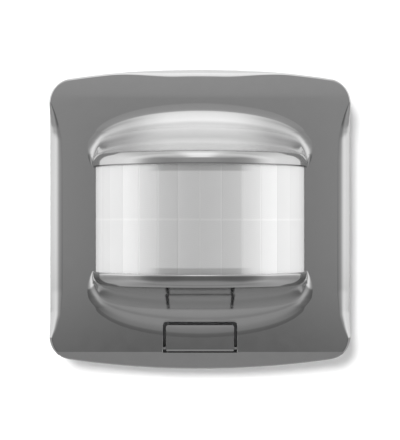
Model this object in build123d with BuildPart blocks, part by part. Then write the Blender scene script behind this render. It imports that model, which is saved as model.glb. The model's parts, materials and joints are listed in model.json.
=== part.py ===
"""Flush-mounted 180 degree motion sensor: a glossy cover frame with a half-round Fresnel lens
between two swept hoods, plugged onto a claw-fixed switching insert for a 60 mm wall box.

Frame: millimetres, +Z up. The wall surface is Y = 0 and the lens looks towards -Y.
A "front" value is a distance in front of the wall, so it lies at Y = -front, and a "back"
value is a depth inside the wall, at Y = +back. Plane.XZ.offset(front) faces the room.
"""

import os
from math import acos, cos, radians, sin, sqrt

from build123d import *

os.makedirs("parts", exist_ok=True)

# ================================================================ driving dimensions
# Cover frame
frame_width = 84.0
frame_height = 84.0
edge_arc_radius = 237.0  # bow of the top and bottom edges
corner_radius = 7.0
face_front = 12.0  # front face of the frame
face_wall = 2.0
skirt_wall = 2.0
edge_round = 3.4
facet_height = 5.1  # height of the sloped strip along the bottom edge
facet_drop = 4.4  # how far that strip falls back

# Lens and hoods
lens_radius = 28.75
lens_wall = 0.9
lens_axis_behind = 0.5  # lens axis, behind the frame's face
lens_leg = 3.5  # straight sides of the lens, behind its axis
window_half = 14.25  # half the lens height that shows
lens_tuck = 1.75  # lens height hidden behind each lip
lens_gap = 0.1
rim_lip = 0.85  # how far the rims stand out past the lens
rim_height = 3.45
hood_wall = 1.9
hood_run = 15.0  # height of a hood's swept flank on the centre line
hood_fullness = 0.36  # how square the flank's foot line is
hood_start = 15.0  # where on its ellipse the flank begins, degrees
hood_root = 0.6  # height of the flank that stands inside the rim
hood_step = 0.1  # how far the flank's root stays inside the rim's round
hood_foot_turn = 82.0  # where the outer flank ends, already inside the frame, degrees
hollow_foot_turn = 70.0
flank_levels = 7
flank_spans = 18
flank_end_share = 0.9995
retainer_wall = 1.2
retainer_height = 1.3

# Control flap
flap_half_width = 9.42
flap_height = 6.35  # from its pivot to its upper edge
flap_wall = 1.5
flap_slot = 0.83
flap_corner = 0.6
flap_pivot_above_facet = 1.3
flap_barrel = 1.1
flap_pin_radius = 0.5
flap_pin_length = 1.9
pin_clearance = 0.06
pin_end_gap = 0.2
crown_height = 2.0  # the tallest that the flank stands above the face at the flap

# Sensor head
rear_cover_front = 3.3
rear_cover_wall = 1.2
rear_cover_beside_board = 4.0
rear_cover_inside_frame = 5.0
rear_cover_corner = 3.0
rear_cover_rim_gap = 0.1  # from its rim to the tray behind the flap
board_rest = 0.7
board_rest_radius = 1.6
board_rest_in_x = 5.0
board_rest_in_z = 4.6
board_wall = 1.4
board_past_lens = 0.25
board_inside_boss = 3.2
tongue_beside_panel = 3.0
tongue_past_adjuster = 2.8
boss_in_x = 6.0
boss_in_z = 4.2
boss_radius = 2.5
boss_sink = 0.2  # how far a boss runs into the frame's wall
boss_hole_spare = 0.4
head_screw_radius = 1.0
head_screw_length = 6.0
screw_head_radius = 1.9
screw_head_height = 1.2
head_screw_slot = 0.6
thread_gap = 0.03

# Detectors behind the lens
holder_half_z = 6.0
holder_slope = 12.0  # half width and rise of the 90 degree roof
holder_base = 1.0
carrier_side = 11.0
carrier_wall = 1.0
can_radius = 4.1
can_flange_radius = 4.6
can_flange = 0.5
can_height = 4.2
can_window = 3.0
can_window_wall = 0.4

# Adjusters behind the flap
adjuster_above_pivot = 3.0
dial_x = 6.2
dial_radius = 2.6
dial_gap = 0.3
dial_wall = 1.3
dial_proud = 0.1  # how far the dials stand in front of the tray's floor
dial_shaft_radius = 1.1
trimmer_side = 5.6
trimmer_height = 1.2
switch_half_x = 3.2
panel_depth = 0.7  # the tray's floor, behind the frame's wall
panel_wall = 0.8
panel_beside_slot = 1.75
panel_lip = 1.1
panel_above_slot = 1.22
panel_past_pivot = 0.4
slider_travel = 1.2
slider_half_x = 0.9
slider_half_z = 1.3
slider_stem_half = 0.5
running_gap = 0.1
slot_depth = 0.7
slot_end_gap = 0.5
pointer_radius = 0.8

# Components on the sensor board: centres (x, z), sizes and heights
component_round = 0.3
chip_centre = (-17.5, 3.0)
chip_size = (7.8, 5.0)
chip_height = 1.6
light_sensor_centre = (17.5, -3.0)
light_sensor_size = (4.0, 3.2)
light_sensor_height = 1.1
timing_centre = (17.5, 7.0)
timing_radius = 2.5
timing_height = 5.4
led_centre = (-17.5, -6.0)
led_radius = 1.5
led_height = 3.6
led_dome = 1.3

# Plug between head and insert
pin_pitch = 2.54
pin_columns = 5
pin_rows = 2
pin_side = 0.64
pin_seat_gap = 0.03
plug_z = 8.0
pin_front = 7.4
pin_tip_back = 4.0
header_front = 2.9
socket_front = 0.8
socket_wall = 1.0
socket_hole = 1.5
socket_hole_back = 5.0
contact_wall = 0.3

# Support ring and insert
ring_inside_frame = 6.5
ring_wall = 1.2
ring_corner = 5.0
ring_opening_radius = 20.8
ring_opening_half_x = 17.0
box_screw_circle = 60.0
box_screw_hole = 2.1
insert_radius = 26.0
insert_half_x = 19.8
insert_depth = 28.0
insert_wall = 1.6
seat_gap = 0.1
insert_cover_wall = 1.8
pillar_x = 13.0
pillar_in_z = 6.4
pillar_radius = 2.2
pillar_back = 10.0
ring_screw_radius = 0.8
ring_screw_head = 1.7
ring_screw_head_height = 0.9
ring_screw_length = 8.0
ring_screw_slot = 0.5
screw_hole_spare = 1.0
power_board_back = 6.0
power_board_wall = 1.4
board_gap = 0.3
clip_half_z = 5.0
clip_z = 20.0
clip_wall = 0.5
clip_foot = 1.7
clip_top_front = 7.0
clip_gap = 0.15

# Components on the rear of the power board: centres (x, z), sizes and depths
relay_centre = (-9.0, 8.0)
relay_size = (15.0, 12.0)
relay_depth = 14.5
film_centre = (8.5, 8.5)
film_size = (15.0, 7.0)
film_depth = 12.0
case_round = 0.6
supply_centre = (9.0, -3.5)
supply_radius = 4.0
supply_depth = 13.0
varistor_x = 3.0
varistor_z = 15.5
varistor_radius = 4.0
varistor_wall = 3.0
varistor_round = 0.9
varistor_lift = 0.2
fuse_start_x = -15.5
fuse_z = -4.0
fuse_length = 12.0
fuse_radius = 2.2
fuse_cap_radius = 2.35
fuse_cap_length = 2.5
fuse_lift = 0.05

# Claws
claw_screw_x = 24.2
claw_screw_radius = 1.45
claw_screw_length = 22.0
claw_head_radius = 2.0
claw_head_height = 1.6
claw_screw_slot = 0.8
claw_hole_gap = 0.2
claw_pivot_x = 21.6
claw_pivot_back = 4.5
claw_wall = 1.2
claw_half_z = 4.0
claw_slot_half = 1.9
claw_start_back = 3.2
claw_slot_back = 5.9
claw_end_back = 19.0
claw_tip_x = 27.2
claw_tooth = 1.2
trunnion_radius = 0.8
trunnion_length = 1.1
ear_gap = 0.2
ear_wall = 1.1
ear_half_x = 1.6
ear_back = 6.3

# Terminals
terminal_pitch = 6.0
terminal_count = 4
terminal_half_x = 12.3
terminal_front_back = 10.3
terminal_top = 10.5
terminal_bottom = 20.5
terminal_wire_z = 14.5
wire_entry = 3.4
chamber_side = 4.4
chamber_back = 14.0
clamp_side = 4.2
clamp_wall = 0.6
clamp_back = 15.0
clamp_length = 6.0
terminal_screw_back = 18.0
terminal_screw_radius = 1.3
terminal_screw_rise = 5.2
terminal_head_radius = 1.7
terminal_head_height = 1.4
driver_hole = 2.1
terminal_screw_slot = 0.6

# ================================================================ derived places
half_w = frame_width / 2
half_h = frame_height / 2
face_back = face_front - face_wall
lens_axis_front = face_front - lens_axis_behind
rim_radius = lens_radius + rim_lip
rim_top = window_half + rim_height
lens_half = window_half + lens_tuck
chamber_radius = lens_radius + lens_gap
chamber_half = lens_half + lens_gap
lens_inner = lens_radius - lens_wall
lens_back_front = lens_axis_front - lens_leg
facet_top = half_h - facet_height
floor_front = rear_cover_front + rear_cover_wall
board_back_front = floor_front + board_rest
board_face = board_back_front + board_wall
slope_foot = board_face + holder_base
flap_pivot_front = face_front - flap_barrel
flap_pivot_below = facet_top - flap_pivot_above_facet
flap_top = flap_pivot_below - flap_height
slot_half_x = flap_half_width + flap_slot
slot_above = flap_top - flap_slot
slot_below = flap_pivot_below + flap_barrel + running_gap
adjuster_below = flap_pivot_below - adjuster_above_pivot
panel_front = face_back - panel_depth
panel_half_x = slot_half_x + panel_beside_slot
panel_above = slot_above - panel_above_slot
panel_below = flap_pivot_below + panel_past_pivot
dial_front = panel_front + dial_proud
rear_cover_rim_front = panel_front - panel_wall - rear_cover_rim_gap
dial_back = dial_front - dial_wall
board_half_x = lens_radius + board_past_lens
rear_cover_half_x = board_half_x + rear_cover_beside_board
rear_cover_half_z = half_h - rear_cover_inside_frame
boss_x = rear_cover_half_x - boss_in_x
boss_z = rear_cover_half_z - boss_in_z
board_half_z = boss_z - board_inside_boss
board_rest_x = board_half_x - board_rest_in_x
board_rest_z = board_half_z - board_rest_in_z
tongue_half_x = panel_half_x + tongue_beside_panel
tongue_below = adjuster_below + tongue_past_adjuster
ring_half_x = half_w - ring_inside_frame
ring_half_z = half_h - ring_inside_frame
clip_face = rear_cover_half_x + clip_gap
clip_inner = min(clip_face, ring_half_x) - clip_foot  # a clip's foot always reaches over the ring
pillar_z = insert_radius - pillar_in_z
trimmer_top = board_face + trimmer_height
insert_floor_back = insert_depth - insert_wall
parts_back = power_board_back + power_board_wall
corner_z = half_h - (edge_arc_radius - sqrt(edge_arc_radius**2 - half_w**2))


# ================================================================ shared shapes
def frame_outline(inset):
    """Outline of the cover frame on the wall plane, moved inwards by inset."""
    with BuildSketch(Plane.XZ) as outline:
        with BuildLine():
            ThreePointArc((-half_w, corner_z), (0, half_h), (half_w, corner_z))
            Line((half_w, corner_z), (half_w, -corner_z))
            ThreePointArc((half_w, -corner_z), (0, -half_h), (-half_w, -corner_z))
            Line((-half_w, -corner_z), (-half_w, corner_z))
        make_face()
        fillet(outline.vertices(), corner_radius)
        if inset:
            offset(amount=-inset, mode=Mode.REPLACE)
    return outline.sketch


def facet_wedge(inset):
    """Prism in front of the sloped bottom strip, its face moved inwards by inset."""
    length = sqrt(facet_height**2 + facet_drop**2)
    start_y = -face_front + inset * facet_height / length
    start_z = -facet_top + inset * facet_drop / length
    with BuildPart() as wedge:
        with BuildSketch(Plane.YZ):
            with BuildLine():
                Polyline(
                    (start_y - facet_drop, start_z + facet_height),
                    (start_y + 2 * facet_drop, start_z - 2 * facet_height),
                    (start_y - 3 * facet_drop, start_z - 2 * facet_height),
                    close=True,
                )
            make_face()
        extrude(amount=frame_width, both=True)
    return wedge.part


def hood_height(x, z, radius, start_z, run):
    """Height of the swept flank above the lens axis: an ellipse falling to the foot line."""
    reach = run * max(1 - (x / radius) ** 2, 1e-9) ** hood_fullness
    share = min(max((z - start_z) / reach, 0), 1)
    turn = acos(cos(radians(hood_start)) * (1 - share))
    fall = (1 - sin(turn)) / (1 - sin(radians(hood_start)))
    return sqrt(max(radius**2 - x**2, 0)) * fall


def hood_solid(radius, axis_front, start_z, run, foot_turn, levels):
    """Swept flank above start_z, closed behind the frame's face, from level plan sections."""
    base_y = -(face_back - 2 * face_wall)
    flat = cos(radians(hood_start))
    with BuildPart() as hood:
        for level in range(levels + 1):
            turn = hood_start + (foot_turn - hood_start) * level / levels
            z = start_z + run * (1 - cos(radians(turn)) / flat)
            share = (z - start_z) / run
            end = radius * sqrt(1 - share ** (1 / hood_fullness)) * flank_end_share
            points = []
            for step in range(flank_spans + 1):
                x = end * sin(radians(-90 + 180 * step / flank_spans))
                points.append((x, -axis_front - hood_height(x, z, radius, start_z, run)))
            with BuildSketch(Plane.XY.offset(z)):
                with BuildLine():
                    Spline(*points)
                    Polyline(points[-1], (end, base_y), (-end, base_y), points[0])
                make_face()
        loft()
    return hood.part


def half_disc(radius, axis_front, low_z, high_z, base_front):
    """Half disc about the lens axis, carried straight back to base_front."""
    with BuildPart() as disc:
        with BuildSketch(Plane.XY.offset(low_z)):
            with BuildLine():
                ThreePointArc(
                    (-radius, -axis_front), (0, -axis_front - radius), (radius, -axis_front)
                )
                Polyline(
                    (radius, -axis_front),
                    (radius, -base_front),
                    (-radius, -base_front),
                    (-radius, -axis_front),
                )
            make_face()
        extrude(amount=high_z - low_z)
    return disc.part


def flap_block(half_x, above, below, corner, back_front):
    """Block with the flap's outline, upper corners rounded, past the flank at its front."""
    with BuildPart() as block:
        with BuildSketch(Plane.XZ.offset(back_front)) as face:
            with Locations((0, -(above + below) / 2)):
                Rectangle(2 * half_x, below - above)
            fillet(face.vertices().group_by(Axis.Z)[-1], corner)
        extrude(amount=face_front + crown_height - back_front)
    return block.part


def insert_outline(inset):
    """Outline of the insert behind the wall: a circle flattened left and right."""
    with BuildSketch(Plane.XZ) as outline:
        Circle(insert_radius - inset)
        Rectangle(2 * (insert_half_x - inset), 2 * insert_radius, mode=Mode.INTERSECT)
    return outline.sketch


def screw(radius, length, head_radius, head_height, slot_width):
    """Slotted screw along +Z, its head's underside at the origin and its head above."""
    with BuildPart() as body:
        with BuildSketch(Plane.XY):
            Circle(head_radius)
        extrude(amount=head_height)
        fillet(body.edges().group_by(Axis.Z)[-1], head_height / 4)
        with BuildSketch(Plane.XY.offset(-length)):
            Circle(radius)
        extrude(amount=length)
        chamfer(body.edges().group_by(Axis.Z)[0], radius / 3)
        with BuildSketch(Plane.XY.offset(head_height)):
            Rectangle(3 * head_radius, slot_width)
        extrude(amount=-head_height / 2, mode=Mode.SUBTRACT)
    return body.part


def pin_grid(side, low_front, high_front):
    """Square bars, one for each contact of the plug."""
    with BuildPart() as bars:
        with BuildSketch(Plane.XZ.offset(low_front)):
            with Locations((0, plug_z)):
                with GridLocations(pin_pitch, pin_pitch, pin_columns, pin_rows):
                    Rectangle(side, side)
        extrude(amount=high_front - low_front)
    return bars.part


# ================================================================ sensor head
# ---------------------------------------------------------------- front cover
upper_hood = hood_solid(
    rim_radius - hood_step,
    lens_axis_front,
    rim_top - hood_root,
    hood_run + hood_root,
    hood_foot_turn,
    flank_levels,
)
hood_hollow = hood_solid(
    rim_radius - hood_wall,
    lens_axis_front - hood_wall / 4,
    rim_top - hood_wall,
    hood_run,
    hollow_foot_turn,
    flank_levels - 1,
)
chamber = half_disc(chamber_radius, lens_axis_front, -chamber_half, chamber_half, face_back - 1)

with BuildPart() as cover_hollow:
    extrude(frame_outline(skirt_wall), amount=face_back)
    add(facet_wedge(face_wall), mode=Mode.SUBTRACT)

with BuildPart() as front_cover:
    extrude(frame_outline(0), amount=face_front)
    fillet(front_cover.edges().group_by(Axis.Y)[0], edge_round)
    add(facet_wedge(0), mode=Mode.SUBTRACT)
    add(upper_hood)
    mirror(upper_hood, about=Plane.XY)
    for low_z, high_z in ((window_half, rim_top), (-rim_top, -window_half)):
        add(half_disc(rim_radius, lens_axis_front, low_z, high_z, face_back))
    add(cover_hollow.part, mode=Mode.SUBTRACT)
    add(chamber, mode=Mode.SUBTRACT)
    add(hood_hollow, mode=Mode.SUBTRACT)
    mirror(hood_hollow, about=Plane.XY, mode=Mode.SUBTRACT)
    window_back = face_back - flap_barrel
    window_corner = flap_corner + flap_slot / 2
    add(
        flap_block(slot_half_x, slot_above, slot_below, window_corner, window_back),
        mode=Mode.SUBTRACT,
    )
    # sockets for the flap's pins, open towards the window
    with BuildSketch(Plane.YZ):
        with Locations((-flap_pivot_front, -flap_pivot_below)):
            Circle(flap_pin_radius + pin_clearance)
    socket_reach = flap_half_width + flap_pin_length + pin_end_gap
    extrude(amount=socket_reach, both=True, mode=Mode.SUBTRACT)
    # screw bosses
    with BuildSketch(Plane.XZ.offset(floor_front)):
        with GridLocations(2 * boss_x, 2 * boss_z, 2, 2):
            Circle(boss_radius)
    extrude(amount=face_back - floor_front + boss_sink)
    with BuildSketch(Plane.XZ.offset(floor_front)):
        with GridLocations(2 * boss_x, 2 * boss_z, 2, 2):
            Circle(head_screw_radius + thread_gap)
    extrude(amount=head_screw_length - rear_cover_wall + boss_hole_spare, mode=Mode.SUBTRACT)
front_cover.part.label = "front_cover"
export_step(front_cover.part, "parts/front_cover.step")

# ---------------------------------------------------------------- lens
with BuildPart() as fresnel_lens:
    add(half_disc(lens_radius, lens_axis_front, -lens_half, lens_half, lens_back_front))
    add(
        half_disc(lens_inner, lens_axis_front, -lens_half, lens_half, lens_back_front),
        mode=Mode.SUBTRACT,
    )
fresnel_lens.part.label = "fresnel_lens"
export_step(fresnel_lens.part, "parts/fresnel_lens.step")

# ---------------------------------------------------------------- lens retainer
retainer_outer = lens_inner - lens_gap
retainer_inner = retainer_outer - retainer_wall
retainer_low = lens_half - retainer_height
with BuildPart() as lens_retainer:
    add(half_disc(retainer_outer, lens_axis_front, -lens_half, lens_half, board_face))
    add(
        half_disc(retainer_inner, lens_axis_front, -lens_half, lens_half, board_face),
        mode=Mode.SUBTRACT,
    )
    # the hoops stay whole, the sides are left as posts
    with BuildSketch(Plane.XZ.offset(lens_axis_front)):
        Rectangle(2 * retainer_outer + 2, 2 * retainer_low)
    extrude(amount=lens_radius, mode=Mode.SUBTRACT)
    # feet only at the corners
    with BuildSketch(Plane.XZ.offset(board_face)):
        Rectangle(2 * retainer_outer + 2, 2 * retainer_low - 4 * retainer_height)
    extrude(amount=lens_axis_front - board_face - retainer_wall, mode=Mode.SUBTRACT)
lens_retainer.part.label = "lens_retainer"
export_step(lens_retainer.part, "parts/lens_retainer.step")

# ---------------------------------------------------------------- detector holder
with BuildPart() as sensor_holder:
    with BuildSketch(Plane.XY.offset(-holder_half_z)):
        with BuildLine():
            Polyline(
                (-holder_slope, -board_face),
                (-holder_slope, -slope_foot),
                (0, -slope_foot - holder_slope),
                (holder_slope, -slope_foot),
                (holder_slope, -board_face),
                close=True,
            )
        make_face()
    extrude(amount=2 * holder_half_z)
    # hollow underneath, with a dividing web left between the two detectors
    with BuildSketch(Plane.XY.offset(-holder_half_z)):
        with BuildLine():
            Polyline(
                (-holder_slope + 3 * holder_base, -board_face),
                (-holder_base / 2, -slope_foot - holder_slope + 4 * holder_base),
                (-holder_base / 2, -board_face),
                close=True,
            )
        make_face()
        mirror(about=Plane.YZ)
    extrude(amount=2 * holder_half_z, mode=Mode.SUBTRACT)
sensor_holder.part.label = "sensor_holder"
export_step(sensor_holder.part, "parts/sensor_holder.step")

# ---------------------------------------------------------------- detectors, one for each side
for side_name, side in (("left", -1), ("right", 1)):
    slope_centre = (side * holder_slope / 2, -slope_foot - holder_slope / 2, 0)
    slope = Plane(slope_centre, x_dir=(0, 0, 1), z_dir=(side, -1, 0))

    with BuildPart() as carrier_board:
        with BuildSketch(slope):
            Rectangle(carrier_side, carrier_side)
        extrude(amount=carrier_wall)
    carrier_board.part.label = f"carrier_board_{side_name}"
    export_step(carrier_board.part, f"parts/carrier_board_{side_name}.step")

    with BuildPart() as detector_can:
        with BuildSketch(slope.offset(carrier_wall)):
            Circle(can_flange_radius)
        extrude(amount=can_flange)
        with BuildSketch(slope.offset(carrier_wall)):
            Circle(can_radius)
        extrude(amount=can_height)
        with BuildSketch(slope.offset(carrier_wall + can_height)):
            Rectangle(can_window + 2 * seat_gap, can_window + 2 * seat_gap)
        extrude(amount=-can_window_wall, mode=Mode.SUBTRACT)
    detector_can.part.label = f"detector_{side_name}"
    export_step(detector_can.part, f"parts/detector_{side_name}.step")

    with BuildPart() as detector_window:
        with BuildSketch(slope.offset(carrier_wall + can_height - can_window_wall)):
            Rectangle(can_window, can_window)
        extrude(amount=can_window_wall)
    detector_window.part.label = f"detector_window_{side_name}"
    export_step(detector_window.part, f"parts/detector_window_{side_name}.step")

# ---------------------------------------------------------------- sensor board
with BuildPart() as sensor_board:
    with BuildSketch(Plane.XZ.offset(board_back_front)):
        Rectangle(2 * board_half_x, 2 * board_half_z)
        with Locations((0, -(board_half_z + tongue_below) / 2)):
            Rectangle(2 * tongue_half_x, tongue_below - board_half_z)
    extrude(amount=board_wall)
    add(pin_grid(pin_side + 2 * pin_seat_gap, board_back_front, board_face), mode=Mode.SUBTRACT)
sensor_board.part.label = "sensor_board"
export_step(sensor_board.part, "parts/sensor_board.step")


def component(name, centre, size, height):
    """Box-shaped component standing on the sensor board."""
    with BuildPart() as box:
        with BuildSketch(Plane.XZ.offset(board_face)):
            with Locations(centre):
                Rectangle(*size)
        extrude(amount=height)
        fillet(box.edges().group_by(Axis.Y)[0], component_round)
    box.part.label = name
    export_step(box.part, f"parts/{name}.step")


component("control_chip", chip_centre, chip_size, chip_height)
component("light_sensor", light_sensor_centre, light_sensor_size, light_sensor_height)

with BuildPart() as timing_capacitor:
    with BuildSketch(Plane.XZ.offset(board_face)):
        with Locations(timing_centre):
            Circle(timing_radius)
    extrude(amount=timing_height)
    fillet(timing_capacitor.edges().group_by(Axis.Y)[0], component_round)
timing_capacitor.part.label = "timing_capacitor"
export_step(timing_capacitor.part, "parts/timing_capacitor.step")

with BuildPart() as status_led:
    with BuildSketch(Plane.XZ.offset(board_face)):
        with Locations(led_centre):
            Circle(led_radius)
    extrude(amount=led_height)
    fillet(status_led.edges().group_by(Axis.Y)[0], led_dome)
status_led.part.label = "status_led"
export_step(status_led.part, "parts/status_led.step")

# ---------------------------------------------------------------- adjusters
for dial_name, side in (("lux", -1), ("time", 1)):
    with BuildPart() as trimmer:
        with BuildSketch(Plane.XZ.offset(board_face)):
            with Locations((side * dial_x, -adjuster_below)):
                Rectangle(trimmer_side, trimmer_side)
        extrude(amount=trimmer_height)
        with BuildSketch(Plane.XZ.offset(board_face + dial_gap)):
            with Locations((side * dial_x, -adjuster_below)):
                Circle(dial_shaft_radius + pin_clearance)
        extrude(amount=trimmer_height, mode=Mode.SUBTRACT)
    trimmer.part.label = f"{dial_name}_trimmer"
    export_step(trimmer.part, f"parts/{dial_name}_trimmer.step")

    with BuildPart() as dial:
        with BuildSketch(Plane.XZ.offset(board_face + 2 * dial_gap)):
            with Locations((side * dial_x, -adjuster_below)):
                Circle(dial_shaft_radius)
        extrude(amount=dial_back - board_face - 2 * dial_gap)
        with BuildSketch(Plane.XZ.offset(dial_back)):
            with Locations((side * dial_x, -adjuster_below)):
                Circle(dial_radius)
        extrude(amount=dial_front - dial_back)
        # screwdriver slot, with a wider end that points to the setting
        with BuildSketch(Plane.XZ.offset(dial_front)):
            with Locations((side * dial_x, -adjuster_below)):
                Rectangle(2 * dial_gap, 2 * (dial_radius - slot_end_gap))
            with Locations((side * dial_x, -adjuster_below + dial_radius / 2)):
                RegularPolygon(pointer_radius, 3, rotation=90)
        extrude(amount=-slot_depth, mode=Mode.SUBTRACT)
    dial.part.label = f"{dial_name}_dial"
    export_step(dial.part, f"parts/{dial_name}_dial.step")

with BuildPart() as mode_switch:
    with BuildSketch(Plane.XZ.offset(board_face)):
        with Locations((0, -adjuster_below)):
            Rectangle(2 * switch_half_x, trimmer_side)
    extrude(amount=trimmer_height)
    with BuildSketch(Plane.XZ.offset(board_face + dial_gap)):
        with Locations((0, -adjuster_below)):
            Rectangle(
                2 * (slider_stem_half + slider_travel + running_gap),
                2 * (slider_half_z - dial_gap + running_gap),
            )
    extrude(amount=trimmer_height, mode=Mode.SUBTRACT)
mode_switch.part.label = "mode_switch"
export_step(mode_switch.part, "parts/mode_switch.step")

with BuildPart() as mode_slider:
    with BuildSketch(Plane.XZ.offset(board_face + 2 * dial_gap)):
        with Locations((0, -adjuster_below)):
            Rectangle(2 * slider_stem_half, 2 * (slider_half_z - dial_gap))
    extrude(amount=trimmer_top + running_gap - board_face - 2 * dial_gap)
    with BuildSketch(Plane.XZ.offset(trimmer_top + running_gap)):
        with Locations((0, -adjuster_below)):
            Rectangle(2 * slider_half_x, 2 * slider_half_z)
    extrude(amount=dial_front - trimmer_top - running_gap)
    # grip groove across the knob
    with BuildSketch(Plane.XZ.offset(dial_front)):
        with Locations((0, -adjuster_below)):
            Rectangle(dial_gap * 2, 3 * slider_half_z)
    extrude(amount=-dial_gap, mode=Mode.SUBTRACT)
mode_slider.part.label = "mode_slider"
export_step(mode_slider.part, "parts/mode_slider.step")

with BuildPart() as adjuster_panel:
    with BuildSketch(Plane.XZ.offset(panel_front - panel_wall)):
        with Locations((0, -(panel_above + panel_below) / 2)):
            Rectangle(2 * panel_half_x, panel_below - panel_above)
    extrude(amount=face_back - panel_front + panel_wall)
    # the tray behind the flap, open at the hinge
    with BuildSketch(Plane.XZ.offset(panel_front)):
        with Locations((0, -panel_above - panel_lip - (panel_below - panel_above) / 2)):
            Rectangle(2 * (panel_half_x - panel_lip), panel_below - panel_above)
    extrude(amount=face_back - panel_front, mode=Mode.SUBTRACT)
    with BuildSketch(Plane.XZ.offset(panel_front - panel_wall)):
        with Locations((-dial_x, -adjuster_below), (dial_x, -adjuster_below)):
            Circle(dial_radius + dial_gap)
        with Locations((0, -adjuster_below)):
            Rectangle(
                2 * (slider_half_x + slider_travel + dial_gap / 2),
                2 * (slider_half_z + dial_gap),
            )
    extrude(amount=panel_wall, mode=Mode.SUBTRACT)
    # the corners beside the flap's barrel stay clear of it
    with BuildSketch(Plane.XZ.offset(panel_front)):
        with Locations((0, -flap_pivot_below)):
            Rectangle(2 * panel_half_x + 2, 2 * (flap_barrel + dial_gap))
    extrude(amount=face_back - panel_front, mode=Mode.SUBTRACT)
adjuster_panel.part.label = "adjuster_panel"
export_step(adjuster_panel.part, "parts/adjuster_panel.step")

# ---------------------------------------------------------------- control flap
with BuildPart() as flap_skin:
    # the frame's face and the foot of the lower hood's flank, which runs on across the flap
    with BuildSketch(Plane.XZ.offset(face_front - flap_wall)):
        with Locations((0, -half_h / 2)):
            Rectangle(frame_width, half_h)
    extrude(amount=flap_wall)
    mirror(upper_hood, about=Plane.XY)

with BuildPart() as control_flap:
    add(
        flap_block(
            flap_half_width, flap_top, flap_pivot_below, flap_corner, face_front - flap_wall
        )
    )
    add(flap_skin.part, mode=Mode.INTERSECT)
    with BuildSketch(Plane.YZ):
        with Locations((-flap_pivot_front, -flap_pivot_below)):
            Circle(flap_barrel)
    extrude(amount=flap_half_width, both=True)
    with BuildSketch(Plane.YZ):
        with Locations((-flap_pivot_front, -flap_pivot_below)):
            Circle(flap_pin_radius)
    extrude(amount=flap_half_width + flap_pin_length, both=True)
control_flap.part.label = "control_flap"
export_step(control_flap.part, "parts/control_flap.step")

# ---------------------------------------------------------------- rear cover
with BuildPart() as rear_cover:
    with BuildSketch(Plane.XZ.offset(rear_cover_front)):
        RectangleRounded(2 * rear_cover_half_x, 2 * rear_cover_half_z, rear_cover_corner)
    extrude(amount=rear_cover_rim_front - rear_cover_front)
    with BuildSketch(Plane.XZ.offset(floor_front)):
        RectangleRounded(
            2 * (rear_cover_half_x - rear_cover_wall),
            2 * (rear_cover_half_z - rear_cover_wall),
            rear_cover_corner - rear_cover_wall,
        )
    extrude(amount=rear_cover_rim_front - floor_front, mode=Mode.SUBTRACT)
    with BuildSketch(Plane.XZ.offset(floor_front)):
        with GridLocations(2 * board_rest_x, 2 * board_rest_z, 2, 2):
            Circle(board_rest_radius)
    extrude(amount=board_rest)
    with BuildSketch(Plane.XZ.offset(rear_cover_front)):
        with GridLocations(2 * boss_x, 2 * boss_z, 2, 2):
            Circle(head_screw_radius + 2 * thread_gap)
        with Locations((0, plug_z)):
            Rectangle(
                pin_columns * pin_pitch + 2 * board_gap, pin_rows * pin_pitch + 2 * board_gap
            )
    extrude(amount=rear_cover_wall, mode=Mode.SUBTRACT)
rear_cover.part.label = "rear_cover"
export_step(rear_cover.part, "parts/rear_cover.step")

head_screw = screw(
    head_screw_radius,
    head_screw_length,
    screw_head_radius,
    screw_head_height,
    head_screw_slot,
)
with BuildPart() as head_screws:
    with Locations(Plane((0, -rear_cover_front, 0), x_dir=(1, 0, 0), z_dir=(0, 1, 0))):
        with GridLocations(2 * boss_x, 2 * boss_z, 2, 2):
            add(head_screw)
head_screws.part.label = "head_screws"
export_step(head_screws.part, "parts/head_screws.step")

# ---------------------------------------------------------------- plug
with BuildPart() as plug_header:
    with BuildSketch(Plane.XZ.offset(header_front)):
        with Locations((0, plug_z)):
            Rectangle(pin_columns * pin_pitch, pin_rows * pin_pitch)
    extrude(amount=board_back_front - header_front)
    add(
        pin_grid(pin_side + 2 * pin_seat_gap, header_front, board_back_front),
        mode=Mode.SUBTRACT,
    )
plug_header.part.label = "plug_header"
export_step(plug_header.part, "parts/plug_header.step")

with BuildPart() as plug_pins:
    add(pin_grid(pin_side, -pin_tip_back, pin_front))
plug_pins.part.label = "plug_pins"
export_step(plug_pins.part, "parts/plug_pins.step")

# ================================================================ wall insert
# ---------------------------------------------------------------- support ring
with BuildPart() as support_ring:
    with BuildSketch(Plane.XZ):
        RectangleRounded(2 * ring_half_x, 2 * ring_half_z, ring_corner)
        with BuildSketch(Plane.XZ, mode=Mode.SUBTRACT):
            Circle(ring_opening_radius)
            Rectangle(2 * ring_opening_half_x, 2 * ring_half_z, mode=Mode.INTERSECT)
        with PolarLocations(box_screw_circle / 2, 4):
            Circle(box_screw_hole, mode=Mode.SUBTRACT)
        with GridLocations(2 * pillar_x, 2 * pillar_z, 2, 2):
            Circle(ring_screw_radius + seat_gap, mode=Mode.SUBTRACT)
        with Locations((-claw_screw_x, 0), (claw_screw_x, 0)):
            Circle(claw_screw_radius + claw_hole_gap, mode=Mode.SUBTRACT)
    extrude(amount=ring_wall)
    # bent ears that carry the claws' trunnions
    ear_z = claw_half_z + ear_gap + ear_wall / 2
    with BuildSketch(Plane.XZ):
        for side in (-1, 1):
            with Locations((side * claw_pivot_x, ear_z), (side * claw_pivot_x, -ear_z)):
                Rectangle(2 * ear_half_x, ear_wall)
    extrude(amount=-ear_back)
    with BuildSketch(Plane.XY):
        with Locations((-claw_pivot_x, claw_pivot_back), (claw_pivot_x, claw_pivot_back)):
            Circle(trunnion_radius + pin_clearance)
    extrude(amount=ear_z + ear_wall, both=True, mode=Mode.SUBTRACT)
support_ring.part.label = "support_ring"
export_step(support_ring.part, "parts/support_ring.step")

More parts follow.
